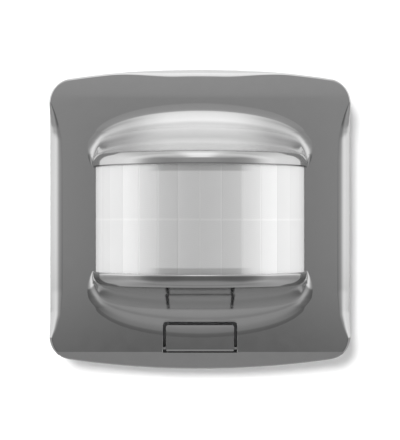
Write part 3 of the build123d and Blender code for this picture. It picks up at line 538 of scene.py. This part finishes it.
WINDOW_TOP = FLAP_TOP + SLOT + LIFT + 0.1
WINDOW_CORNER = 1.0
FLARE = 0.6  # how far the cutter widens in front of the face, which bevels the slot's edge


def window_outline(grow, low):
    """Outline of the flap's window, upper corners rounded; grow moves all but its lower side outwards."""
    half_x = FLAP_X + SLOT + grow
    top = WINDOW_TOP + grow
    corner = WINDOW_CORNER + grow
    right = [(half_x, low + (top - corner - low) * k / 24) for k in range(24)]
    for k in range(15):
        a = pi / 2 * k / 14
        right.append((half_x - corner + corner * cos(a), top - corner + corner * sin(a)))
    across = [((half_x - corner) * (1 - k / 24), top) for k in range(1, 24)]
    half = right + across
    left = [(-x, z) for x, z in reversed(half)]
    low_row = [(-half_x * (1 - k / 24), low) for k in range(1, 48)]
    return half + [(0.0, top)] + left + low_row


def window_cutter():
    """Body that cuts the flap's window; its low side runs just below the flap's barrel."""
    skin = Skin()
    deep_low, lip_low = PIVOT_Z - BARREL - 0.1, PIVOT_Z - BARREL - 0.06
    back = window_outline(0.0, deep_low)
    base = window_outline(0.0, lip_low)
    wide = window_outline(FLARE, lip_low)
    rings = [[(x, BACK - 1.6, z) for x, z in back], [(x, FACE - 0.65, z) for x, z in back]]
    rings.append([(x, pod(x, z) - CHAMFER, z) for x, z in base])
    rings.append([(far_x, pod(x, z) - CHAMFER + FLARE, far_z) for (x, z), (far_x, far_z) in zip(base, wide)])
    skin.grid(rings, closed=True)
    count = len(base)
    for ring in (rings[0], rings[-1]):
        middle = (0.0, sum(p[1] for p in ring) / count, sum(p[2] for p in ring) / count)
        for i in range(count):
            skin.face([ring[i], ring[(i + 1) % count], middle])
    return skin.build("flap_window")


def build_flap():
    """The flap: a slab that follows the hood's surface, bevelled at its top and sides, with a barrel."""
    skin = Skin()
    columns = [FLAP_X]
    columns += [FLAP_X - CHAMFER * k / 2 for k in (1, 2)]
    columns += [FLAP_X - CHAMFER - (FLAP_CORNER - CHAMFER) * k / 7 for k in range(1, 8)]
    columns += [(FLAP_X - FLAP_CORNER) * (1 - k / 30) for k in range(1, 31)]
    back_step = 0.4  # the slab's back lies this far behind the pivot
    end_turn = pi * 1.5 - asin(back_step / BARREL)
    rows = []
    for x in columns:
        edge = max(CHAMFER - (FLAP_X - x), 0.0)
        over = max(x - (FLAP_X - FLAP_CORNER), 0.0)
        top = FLAP_TOP + LIFT - (FLAP_CORNER - sqrt(max(FLAP_CORNER**2 - over**2, 0)))
        start = top - CHAMFER - edge
        loop = [(PIVOT_D - back_step, top)]
        loop.append((pod(x, top) - CHAMFER - edge, top))
        loop.append((pod(x, top - CHAMFER) - edge, start))
        for k in range(1, 61):
            z = start + (PIVOT_Z - start) * k / 60
            loop.append((pod(x, z) - edge, z))
        for k in range(1, 41):
            a = end_turn * k / 40
            loop.append((PIVOT_D + (BARREL - edge) * cos(a), PIVOT_Z - (BARREL - edge) * sin(a)))
        rows.append([(x, d, z) for d, z in loop])
    rows = rows + [[(-x, d, z) for x, d, z in row] for row in reversed(rows[:-1])]
    skin.grid(rows, closed=True)
    for row in (rows[0], rows[-1]):
        x = row[0][0]
        skin.flat([[(d, z) for _, d, z in row]], lambda u, v, x=x: (x, u, v))
    return skin.build("control_flap_skin")


def build_pins():
    """Two stub pins on the flap's axis, bevelled at their ends."""
    skin = Skin()
    start, end, bevel = FLAP_X - 0.2, FLAP_X + PIN_LENGTH, 0.15
    turns = [2 * pi * k / 24 for k in range(24)]
    for side in (-1, 1):
        rows = []
        for x, r in ((start, PIN_RADIUS), (end - bevel, PIN_RADIUS), (end, PIN_RADIUS - bevel)):
            rows.append([(side * x, PIVOT_D + r * cos(a), PIVOT_Z + r * sin(a)) for a in turns])
        skin.grid(rows, closed=True)
        skin.face(rows[0])
        skin.face(rows[-1])
    return skin.build("control_flap_pins")


# ---------------------------------------------------------------- lens
SEGMENTS = 16
GROOVE = 0.05  # depth of the lines between segments
HALF_GROOVE = 0.16
SEGMENT_CROWN = 0.025


def lens_line(depth):
    """Outer line of the lens, left to right, with a groove between segments; depth lowers the round part."""
    turn_step = pi / SEGMENTS
    narrow = HALF_GROOVE / LENS
    line = [(-LENS, LEGS_BACK), (-LENS, (LEGS_BACK + AXIS) / 2)]
    for s in range(SEGMENTS):
        a0 = -pi / 2 + turn_step * s
        marks = [0.0, narrow, narrow * 2.2] + [turn_step * k / 9 for k in range(1, 9)]
        marks += [turn_step - narrow * 2.2, turn_step - narrow]
        for m in marks:
            across = (m / turn_step) * 2 - 1
            dip = GROOVE if m == 0.0 and s > 0 else 0.0
            r = LENS - depth - dip - SEGMENT_CROWN * across**2
            line.append((r * sin(a0 + m), AXIS + r * cos(a0 + m)))
    return line + [(LENS, AXIS), (LENS, (LEGS_BACK + AXIS) / 2), (LENS, LEGS_BACK)]


def build_lens():
    """Half-round lens with two rows of segments."""
    skin = Skin()
    inside = LENS - LENS_WALL
    outer_line = lens_line(0.0)
    inner_line = []
    for x, d in outer_line:
        if d <= AXIS:
            inner_line.append((inside if x > 0 else -inside, d))
        else:
            a = atan2(x, d - AXIS)
            inner_line.append((inside * sin(a), AXIS + inside * cos(a)))
    below = [-LENS_HALF, -WINDOW, -WINDOW + 1.2, -12, -9, -6, -3, -1, -HALF_GROOVE * 1.6, -HALF_GROOVE]
    rows = []
    for z in below + [0.0] + [-z for z in reversed(below)]:
        line = lens_line(GROOVE if z == 0.0 else 0.0)
        rows.append([(x, d, z) for x, d in line] + [(x, d, z) for x, d in reversed(inner_line)])
    skin.grid(rows, closed=True)
    for z in (-LENS_HALF, LENS_HALF):
        skin.grid([[(x, d, z) for x, d in outer_line], [(x, d, z) for x, d in inner_line]])
    return skin.build("fresnel_lens_skin")


# ---------------------------------------------------------------- screw bosses
BOSS_RADIUS = 2.5
BOSS_BACK = 4.5  # front distance of the bosses' rear ends
SCREW_HEAD = 1.9  # radius of the screws' heads
HOLE_RADIUS = 1.03
HOLE_END = 9.3
HOLE_TIP = 9.6


def build_bosses():
    """Bosses behind the cover's face, with the holes that the head's screws cut their thread in."""
    skin = Skin()
    screws_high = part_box("head_screws")[1] / MM
    boss_x, boss_z = screws_high.x - SCREW_HEAD, screws_high.z - SCREW_HEAD
    turns = [2 * pi * k / 32 for k in range(32)]
    bevel = 0.1
    profile = [(BOSS_RADIUS, BACK + 0.2), (BOSS_RADIUS, BOSS_BACK + bevel), (BOSS_RADIUS - bevel, BOSS_BACK)]
    profile += [(HOLE_RADIUS + bevel, BOSS_BACK), (HOLE_RADIUS, BOSS_BACK + bevel)]
    profile += [(HOLE_RADIUS, HOLE_END), (0.0, HOLE_TIP)]
    for x in (-boss_x, boss_x):
        for z in (-boss_z, boss_z):
            rings = [[(x + r * cos(a), d, z + r * sin(a)) for a in turns] for r, d in profile]
            skin.grid(rings, closed=True)
            skin.face(rings[0])
    return skin.build("front_cover_bosses")


# ---------------------------------------------------------------- pieces, and the bodies they ride on
cover = cut(build_cover(), window_cutter())
shade(cover, 24.0, FACE)
# faces of the slot's walls, which get the painted shade further down
slot_walls = []
for poly in cover.data.polygons:
    px, pd, pz = poly.center.x / MM, -poly.center.y / MM, poly.center.z / MM
    inside_window = abs(px) < FLAP_X + SLOT + 0.02 and PIVOT_Z - BARREL + 0.1 < pz < WINDOW_TOP + 0.02
    if inside_window and pd < pod(px, pz) - CHAMFER - 0.05 and abs(poly.normal.y) < 0.5:
        slot_walls.append(poly.index)
flap = build_flap()
shade(flap, 28.0, FACE)
flap_pins = build_pins()
shade(flap_pins)
lens = build_lens()
shade(lens, 40.0)
bosses = build_bosses()
shade(bosses, 35.0)

for piece in (cover, bosses):
    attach(piece, "head")
    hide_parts("front_cover")
for piece in (flap, flap_pins):
    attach(piece, "control_flap")
    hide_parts("control_flap")
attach(lens, "head")
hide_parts("fresnel_lens")


# ---------------------------------------------------------------- materials
class Nodes:
    """Short calls for the nodes of one material or world."""

    def __init__(self, owner):
        owner.use_nodes = True
        self.tree = owner.node_tree
        self.tree.nodes.clear()

    def add(self, kind, inputs=None, **settings):
        node = self.tree.nodes.new(kind)
        for key, value in settings.items():
            setattr(node, key, value)
        for key, value in (inputs or {}).items():
            socket = node.inputs[key]
            if isinstance(value, bpy.types.NodeSocket):
                self.tree.links.new(value, socket)
            else:
                socket.default_value = value
        return node

    def math(self, operation, a, b=0.0):
        return self.add("ShaderNodeMath", {0: a, 1: b}, operation=operation).outputs[0]

    def span(self, value, low, high, to_low=0.0, to_high=1.0, kind="SMOOTHSTEP"):
        node = self.add(
            "ShaderNodeMapRange",
            {"Value": value, "From Min": low, "From Max": high, "To Min": to_low, "To Max": to_high},
            interpolation_type=kind,
        )
        return node.outputs["Result"]

    def grey(self, value):
        node = self.add("ShaderNodeCombineColor", {0: value, 1: value, 2: value})
        return node.outputs[0]

    def noise(self, scale, detail=3.0, rough=0.5):
        place = self.add("ShaderNodeTexCoord").outputs["Object"]
        inputs = {"Vector": place, "Scale": scale, "Detail": detail, "Roughness": rough}
        return self.add("ShaderNodeTexNoise", inputs).outputs["Fac"]

    def mix(self, factor, a, b):
        node = self.add("ShaderNodeMix", data_type="RGBA")
        for i, value in ((0, factor), (6, a), (7, b)):
            if isinstance(value, bpy.types.NodeSocket):
                self.tree.links.new(value, node.inputs[i])
            else:
                node.inputs[i].default_value = value
        return node.outputs[2]


GLOSS_SPREAD = 0.08  # by how much the roughness of a finish varies


def paint(name, colour, rough, metal=0.0, coat=0.0, grain=900.0, vary=0.05, bump=0.02):
    """Procedural finish: colour and roughness vary over two noises, with a fine bump."""
    material = bpy.data.materials.new(name)
    n = Nodes(material)
    fine = n.noise(grain, 4.0, 0.6)
    broad = n.noise(grain / 14, 2.0, 0.5)
    dark = tuple(c * (1 - vary) for c in colour) + (1,)
    light = tuple(min(c * (1 + vary), 1.0) for c in colour) + (1,)
    blend = n.math("ADD", n.math("MULTIPLY", fine, 0.5), n.math("MULTIPLY", broad, 0.5))
    tone = n.mix(n.span(blend, 0.35, 0.65), dark, light)
    gloss = n.span(broad, 0.3, 0.7, max(rough - GLOSS_SPREAD / 2, 0.02), rough + GLOSS_SPREAD / 2)
    lift = n.add("ShaderNodeBump", {"Height": fine, "Strength": bump, "Distance": 0.0002})
    inputs = {"Base Color": tone, "Roughness": gloss, "Metallic": metal, "Normal": lift.outputs[0]}
    if coat:
        inputs["Coat Weight"] = coat
        inputs["Coat Roughness"] = 0.04
    shader = n.add("ShaderNodeBsdfPrincipled", inputs)
    n.add("ShaderNodeOutputMaterial", {"Surface": shader.outputs[0]})
    return material


def lacquer():
    """Glossy grey lacquer with a metal pigment: fine flakes under a clear coat."""
    material = bpy.data.materials.new("cover_grey_lacquer")
    n = Nodes(material)
    place = n.add("ShaderNodeTexCoord").outputs["Object"]
    flake = n.add("ShaderNodeTexVoronoi", {"Vector": place, "Scale": 9000.0})
    cloud = n.noise(260.0, 3.0, 0.5)
    sparkle = n.span(flake.outputs["Distance"], 0.0, 1.0, -0.012, 0.012, "LINEAR")
    level = n.math("ADD", n.math("ADD", 0.80, sparkle), n.span(cloud, 0.3, 0.7, -0.008, 0.008))
    gloss = n.span(cloud, 0.3, 0.7, 0.11, 0.13)
    shader = n.add(
        "ShaderNodeBsdfPrincipled",
        {
            "Base Color": n.grey(level),
            "Metallic": 1.0,
            "Roughness": gloss,
            "Coat Weight": 0.35,
            "Coat Roughness": 0.03,
            "Coat IOR": 1.5,
        },
    )
    n.add("ShaderNodeOutputMaterial", {"Surface": shader.outputs[0]})
    return material


def milky_lens():
    """Milky polyethylene: concentric ridges in each segment, and a darker band below each rim, partly
    painted shade under the rim and partly its holder showing through.
    """
    material = bpy.data.materials.new("lens_white_milky")
    n = Nodes(material)
    split = n.add("ShaderNodeSeparateXYZ", {0: n.add("ShaderNodeTexCoord").outputs["Object"]})
    x, y, z = split.outputs
    depth = n.math("SUBTRACT", n.math("MULTIPLY", y, -1.0), AXIS * MM)
    turn = n.math("ARCTAN2", x, depth)
    place = n.math("MULTIPLY", turn, SEGMENTS / pi)
    local = n.math("SUBTRACT", n.math("FRACT", n.math("ADD", place, SEGMENTS)), 0.5)
    across = n.math("MULTIPLY", local, pi / SEGMENTS * LENS)
    number = n.math("FLOOR", n.math("ADD", place, SEGMENTS))
    up = n.math("DIVIDE", z, MM)
    row = n.math("SUBTRACT", n.math("ABSOLUTE", up), WINDOW / 2)
    away = n.math("SQRT", n.math("ADD", n.math("MULTIPLY", across, across), n.math("MULTIPLY", row, row)))
    ridges = n.math("SINE", n.math("MULTIPLY", away, 2 * pi / 0.55))
    seam = n.span(n.math("ABSOLUTE", local), 0.465, 0.495)
    middle = n.span(n.math("ABSOLUTE", up), 0.42, 0.12)
    odd = n.math("SINE", n.math("MULTIPLY", number, 2.4))
    # painted shade: a darker band along the lens's top and bottom edges under the rims, partly the holder
    # behind showing through
    behind = n.math(
        "MULTIPLY",
        n.span(n.math("ABSOLUTE", up), WINDOW - 1.9, WINDOW - 1.3),
        n.span(n.math("ABSOLUTE", x), 0.0145, 0.009),
    )
    cloud = n.noise(180.0, 3.0, 0.5)
    tones = n.add("ShaderNodeValToRGB", {0: n.span(place, -SEGMENTS / 2, SEGMENTS / 2, kind="LINEAR")})
    tones.color_ramp.interpolation = "CONSTANT"
    marks = tones.color_ramp.elements
    while len(marks) > 1:
        marks.remove(marks[-1])
    steps = (0.92, 0.93, 0.89, 0.92, 1.02, 0.92, 0.81, 0.85, 0.85, 0.84, 0.99, 1.07, 0.97, 0.93, 0.92, 0.9)
    for i, tone in enumerate(steps):
        mark = marks[0] if i == 0 else marks.new(i / SEGMENTS)
        mark.position = i / SEGMENTS
        mark.color = (tone * 0.8,) * 3 + (1,)
    level = n.math("ADD", tones.outputs[0], n.math("MULTIPLY", odd, 0.004))
    level = n.math("ADD", level, n.span(cloud, 0.3, 0.7, -0.004, 0.004))
    level = n.math("ADD", level, n.math("MULTIPLY", ridges, 0.006))
    level = n.math("ADD", level, n.math("MULTIPLY", n.math("MAXIMUM", seam, middle), 0.05))
    # darken that band under the rims by up to 30 percent: painted shade
    level = n.math("MULTIPLY", level, n.math("SUBTRACT", 1.0, n.math("MULTIPLY", behind, 0.3)))
    lift = n.add("ShaderNodeBump", {"Height": ridges, "Strength": 0.12, "Distance": 0.00002})
    shader = n.add(
        "ShaderNodeBsdfPrincipled",
        {
            "Base Color": n.grey(level),
            "Roughness": n.span(cloud, 0.3, 0.7, 0.29, 0.31),
            "IOR": 1.5,
            "Normal": lift.outputs[0],
        },
    )
    n.add("ShaderNodeOutputMaterial", {"Surface": shader.outputs[0]})
    return material


def board():
    """Green circuit board: solder mask over copper tracks, tinned pads."""
    material = bpy.data.materials.new("circuit_board_mask")
    n = Nodes(material)
    split = n.add("ShaderNodeSeparateXYZ", {0: n.add("ShaderNodeTexCoord").outputs["Object"]})
    x, _, z = split.outputs
    wander = n.noise(120.0, 1.0, 0.4)

    def lane_along(place, bends, shift):
        """Place across its lane, 0 to 1; the lanes jump sideways where the noise crosses a step."""
        jump = n.math("MULTIPLY", n.math("FLOOR", n.math("MULTIPLY", wander, bends)), shift)
        return n.math("FRACT", n.math("ADD", n.math("MULTIPLY", place, 520.0), jump))

    lanes_x, lanes_z = lane_along(x, 9.0, 0.37), lane_along(z, 7.0, 0.41)
    choose = n.span(n.noise(60.0, 0.0, 0.0), 0.49, 0.51)
    lane = n.mix(choose, n.grey(lanes_x), n.grey(lanes_z))
    lane = n.add("ShaderNodeSeparateColor", {0: lane}).outputs[0]
    track = n.math("MULTIPLY", n.span(lane, 0.28, 0.34), n.span(lane, 0.72, 0.66))
    place = n.add("ShaderNodeTexCoord").outputs["Object"]
    pads = n.add("ShaderNodeTexVoronoi", {"Vector": place, "Scale": 240.0})
    pad = n.span(pads.outputs["Distance"], 0.16, 0.13)
    tone = n.mix(track, (0.012, 0.085, 0.035, 1), (0.03, 0.16, 0.07, 1))
    tone = n.mix(pad, tone, (0.62, 0.60, 0.56, 1))
    raised = n.math("ADD", track, pad)
    lift = n.add("ShaderNodeBump", {"Height": raised, "Strength": 0.3, "Distance": 0.00005})
    shader = n.add(
        "ShaderNodeBsdfPrincipled",
        {
            "Base Color": tone,
            "Roughness": n.span(wander, 0.3, 0.7, 0.28, 0.42),
            "Metallic": n.math("MULTIPLY", pad, 0.8),
            "Normal": lift.outputs[0],
        },
    )
    n.add("ShaderNodeOutputMaterial", {"Surface": shader.outputs[0]})
    return material


finishes = {
    "cover_grey": lacquer(),
    "lens_white": milky_lens(),
    "circuit_board": board(),
    "white_plastic": paint("white_plastic_moulded", (0.74, 0.74, 0.72), 0.42, bump=0.05, vary=0.03),
    "dark_plastic": paint("dark_plastic_moulded", (0.045, 0.046, 0.05), 0.48, bump=0.08, vary=0.12),
    "housing_plastic": paint("housing_plastic_moulded", (0.55, 0.56, 0.57), 0.5, bump=0.08, vary=0.05),
    "dial_plastic": paint("dial_plastic_moulded", (0.82, 0.83, 0.84), 0.38, bump=0.03, vary=0.03),
    "zinc_steel": paint(
        "zinc_steel_sheet", (0.62, 0.63, 0.65), 0.33, metal=1.0, grain=1500.0, vary=0.1, bump=0.1
    ),
    "spring_steel": paint(
        "spring_steel_strip", (0.52, 0.52, 0.53), 0.26, metal=1.0, grain=2200.0, vary=0.08
    ),
    "can_metal": paint("can_metal_nickel", (0.68, 0.67, 0.64), 0.2, metal=1.0, vary=0.05),
    "filter_dark": paint("filter_dark_silicon", (0.05, 0.045, 0.06), 0.12, vary=0.2, coat=0.5),
    "contact_gold": paint("contact_gold_plate", (0.85, 0.62, 0.26), 0.22, metal=1.0, vary=0.06),
    "terminal_brass": paint("terminal_brass_worn", (0.72, 0.55, 0.28), 0.32, metal=1.0, vary=0.1),
    "relay_blue": paint("relay_blue_case", (0.03, 0.12, 0.38), 0.3, vary=0.08),
    "capacitor_sleeve": paint("capacitor_sleeve_film", (0.03, 0.035, 0.05), 0.22, vary=0.15, coat=0.3),
    "film_yellow": paint("film_yellow_case", (0.72, 0.5, 0.08), 0.35, vary=0.06),
    "varistor_blue": paint("varistor_blue_resin", (0.05, 0.2, 0.42), 0.28, vary=0.1, bump=0.15, coat=0.3),
    "fuse_glass": paint("fuse_glass_tube", (0.6, 0.62, 0.6), 0.12, vary=0.1, coat=0.5),
    "led_red": paint("led_red_resin", (0.45, 0.02, 0.02), 0.15, vary=0.1, coat=0.5),
}

slot_of = {entry["node"]: entry["material_slot"] for entry in frame["record"]["subparts"]}
for name, node in frame["nodes"].items():
    finish = finishes[slot_of[name]]
    node.data.materials.clear()
    node.data.materials.append(finish)
new_pieces = (
    (cover, "cover_grey"),
    (bosses, "cover_grey"),
    (flap, "cover_grey"),
    (flap_pins, "cover_grey"),
    (lens, "lens_white"),
)
for piece, slot in new_pieces:
    piece.data.materials.clear()
    piece.data.materials.append(finishes[slot])
    piece.data.polygons.foreach_set("material_index", [0] * len(piece.data.polygons))
# painted shade inside the slot: a near-black material on its walls, and on the flap's side and top faces
cover.data.materials.append(paint("slot_painted_shade", (0.02, 0.02, 0.021), 0.55, vary=0.15, bump=0.05))
for i in slot_walls:
    cover.data.polygons[i].material_index = 1
flap.data.materials.append(cover.data.materials[1])
for poly in flap.data.polygons:
    if abs(poly.normal.x) > 0.95 or poly.normal.z > 0.95:
        poly.material_index = 1

# ---------------------------------------------------------------- floor, light and camera
FLOOR_Z = -500.0
FLOOR_GLOW = 0.3  # light the floor gives off for the camera alone
WALL_HALF = 75
WALL_GAP = 1.0  # how far the backdrop stands behind the insert's cover


def clear_behind(n, front):
    """Close a material: this shader on the surface's front side, nothing from behind."""
    behind = n.add("ShaderNodeNewGeometry").outputs["Backfacing"]
    clear = n.add("ShaderNodeBsdfTransparent")
    shown = n.add("ShaderNodeMixShader", {0: behind, 1: front.outputs[0], 2: clear.outputs[0]})
    n.add("ShaderNodeOutputMaterial", {"Surface": shown.outputs[0]})


def floor_finish():
    """Pale floor, brighter for the camera than for the light that bounces off it."""
    material = bpy.data.materials.new("floor_pale")
    n = Nodes(material)
    pale = n.add("ShaderNodeBsdfDiffuse", {"Color": n.grey(n.span(n.noise(20.0), 0.3, 0.7, 0.85, 0.87))})
    glow = n.math("MULTIPLY", n.add("ShaderNodeLightPath").outputs["Is Camera Ray"], FLOOR_GLOW)
    shine = n.add("ShaderNodeEmission", {"Strength": glow})
    clear_behind(n, n.add("ShaderNodeAddShader", {0: pale.outputs[0], 1: shine.outputs[0]}))
    return material


def backdrop_finish():
    """Pale backdrop that the drop shadow falls on."""
    material = bpy.data.materials.new("backdrop_pale")
    n = Nodes(material)
    tone = n.grey(n.span(n.noise(20.0), 0.3, 0.7, 0.895, 0.905))
    clear_behind(n, n.add("ShaderNodeBsdfDiffuse", {"Color": tone}))
    return material


def build_floor():
    """Wide floor below the part, clear from below."""
    skin = Skin()
    skin.grid([[(x, d, FLOOR_Z) for x in range(-3000, 3001, 600)] for d in range(-2400, 2401, 600)])
    sheet = skin.build("floor")
    if sheet.data.polygons[0].normal.z < 0:
        sheet.data.flip_normals()
    sheet.data.materials.append(floor_finish())
    sheet.visible_glossy = False
    return sheet


def build_backdrop():
    """Small sheet behind the part, clear from behind."""
    skin = Skin()
    wall_at = -(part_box("insert_cover")[1].y / MM) - WALL_GAP
    marks = range(-WALL_HALF, WALL_HALF + 1, 25)
    skin.grid([[(x, wall_at, z) for x in marks] for z in marks])
    sheet = skin.build("backdrop")
    if sheet.data.polygons[0].normal.y > 0:
        sheet.data.flip_normals()
    sheet.data.materials.append(backdrop_finish())
    sheet.visible_glossy = False
    sheet.visible_diffuse = False
    return sheet


def sun(name, strength, width, rotation):
    """Sun lamp that reflections don't show; width is its angle in degrees."""
    lamp_data = bpy.data.lights.new(name, "SUN")
    lamp_data.energy, lamp_data.angle = strength, radians(width)
    lamp = bpy.data.objects.new(name, lamp_data)
    lamp.rotation_euler = rotation
    lamp.visible_glossy = False
    bpy.context.scene.collection.objects.link(lamp)
    return lamp


build_floor()

world = bpy.data.worlds.new("studio")
bpy.context.scene.world = world
w = Nodes(world)
way = w.add("ShaderNodeSeparateXYZ", {0: w.add("ShaderNodeTexCoord").outputs["Generated"]})
wx, wy, wz = way.outputs
# angles in degrees: round the x axis from straight ahead, round the z axis, and above the horizon
ahead = w.math("MULTIPLY", wy, -1.0)
climb = w.math("MULTIPLY", w.math("ARCTAN2", wz, ahead), 180 / pi)
aside = w.math("MULTIPLY", w.math("ARCTAN2", w.math("ABSOLUTE", wx), ahead), 180 / pi)
height = w.math("MULTIPLY", w.math("ARCSINE", wz), 180 / pi)


def ramp(value, low, high, stops):
    """Brightness by angle; stops are (degrees, brightness) rows."""
    node = w.add("ShaderNodeValToRGB", {0: w.span(value, low, high, kind="LINEAR")})
    marks = node.color_ramp.elements
    while len(marks) > 1:
        marks.remove(marks[-1])
    top = max(level for _, level in stops)
    for i, (place, level) in enumerate(stops):
        mark = marks[0] if i == 0 else marks.new((place - low) / (high - low))
        mark.position = (place - low) / (high - low)
        mark.color = (level / top,) * 3 + (1,)
    return w.math("MULTIPLY", node.outputs[0], top)


upright = ramp(climb, -180, 180, [
    (-180, 0.40), (-125, 0.34), (-95, 0.29), (-88, 0.235), (-84, 0.235), (-79, 0.29), (-60, 0.28),
    (-45, 0.235), (-30, 0.205), (-27, 0.19), (-24, 0.14), (-10, 0.115), (-5.4, 0.125), (4.2, 0.27),
    (8, 0.3), (12, 0.305), (22, 0.315), (34, 0.33), (43, 0.36), (46, 0.85), (56, 0.96), (70, 1.02),
    (84, 1.1), (92, 0.9), (96, 0.82), (102, 0.9), (125, 0.85), (128, 0.7), (135, 0.85), (160, 0.9),
    (180, 0.6),
])
beside = ramp(aside, 0, 180, [
    (0, 0.224), (22, 0.244), (35, 0.27), (52, 0.33), (57, 0.39), (62, 0.48), (67, 0.64), (72, 0.75),
    (77, 0.85), (83, 0.89), (94, 0.84), (118, 0.79), (142, 0.7), (180, 0.6),
])
front = ramp(climb, -6, 6, [
    (-6, 0.125), (-4.35, 0.157), (-4.0, 0.178), (-3.6, 0.2), (-3.3, 0.226), (-2.95, 0.25),
    (-2.6, 0.268), (-1.9, 0.278), (0, 0.281), (2.4, 0.276), (4.2, 0.27), (6, 0.285),
])
inner = ramp(aside, 0, 6, [(0, 0.74), (3.5, 0.74), (4.45, 1.0), (4.8, 1.08), (6, 1.08)])
side_on = w.math("ABSOLUTE", wx)
high_up = w.span(climb, 2.6, 4.0)
inner = w.math("ADD", w.math("MULTIPLY", inner, w.math("SUBTRACT", 1.0, high_up)), high_up)
front = w.math("MULTIPLY", front, inner)
near_ahead = w.span(w.math("ABSOLUTE", climb), 7.0, 5.2)
ahead_share = w.math("MULTIPLY", near_ahead, w.span(side_on, 0.14, 0.09))
narrow = w.math("MULTIPLY", w.span(side_on, 0.07, 0.3, 0.0, 0.36), w.span(climb, 44, 60))
upright = w.math("MULTIPLY", upright, w.math("SUBTRACT", 1.0, narrow))
edge_dim = w.math("MULTIPLY", w.span(side_on, 0.07, 0.28, 0.0, 0.3), w.span(climb, 72, 50))
edge_dim = w.math("MULTIPLY", edge_dim, w.span(climb, 40, 46))
upright = w.math("MULTIPLY", upright, w.math("SUBTRACT", 1.0, edge_dim))
dim = ramp(height, -90, 90, [
    (-90, 0.5), (-30, 0.5), (-8, 0.38), (-4.3, 0.42), (-2.2, 0.95), (0, 1.0), (90, 1.0),
])
beside = w.math("MULTIPLY", beside, dim)
not_steep = w.span(w.math("ABSOLUTE", height), 62.0, 30.0)
beside_share = w.math("MULTIPLY", w.span(side_on, 0.2, 0.62), not_steep)


def blend(base, over, share):
    """Brightness that goes from base to over as share goes from 0 to 1."""
    kept = w.math("MULTIPLY", base, w.math("SUBTRACT", 1.0, share))
    return w.math("ADD", kept, w.math("MULTIPLY", over, share))


light = blend(blend(upright, beside, beside_share), front, ahead_share)
# the camera sees plain white where nothing stands
seen = w.add("ShaderNodeLightPath").outputs["Is Camera Ray"]
final = w.mix(seen, w.grey(light), (1.0, 1.0, 1.0, 1))
w.add("ShaderNodeOutputWorld", {"Surface": w.add("ShaderNodeBackground", {"Color": final}).outputs[0]})

CAMERA_AWAY = 0.470  # metres from the wall
camera_data = bpy.data.cameras.new("camera")
camera_data.lens = 135.8
camera_data.sensor_width = 36.0
camera_data.clip_start = 0.01
camera = bpy.data.objects.new("camera", camera_data)
camera.location = (0.0, -CAMERA_AWAY, -0.00014)
camera.rotation_euler = (radians(90), 0, 0)
bpy.context.scene.collection.objects.link(camera)
bpy.context.scene.camera = camera
bpy.context.scene.view_settings.view_transform = "Standard"

SIDE_LAMP = 2.5
for name, turn in (("left", -80), ("right", 80)):
    sun("soft_" + name, SIDE_LAMP, 40, (radians(90), 0, radians(turn)))

backdrop = build_backdrop()
# this lamp lights only the backdrop, and casts the drop shadow on it
toward_lamp = Vector((-0.215, -0.93, 0.29))
backdrop_lamp = sun("backdrop_lamp", 2.6, 16, toward_lamp.to_track_quat("Z", "Y").to_euler())
only_backdrop = bpy.data.collections.new("backdrop_only")
only_backdrop.objects.link(backdrop)
backdrop_lamp.light_linking.receiver_collection = only_backdrop
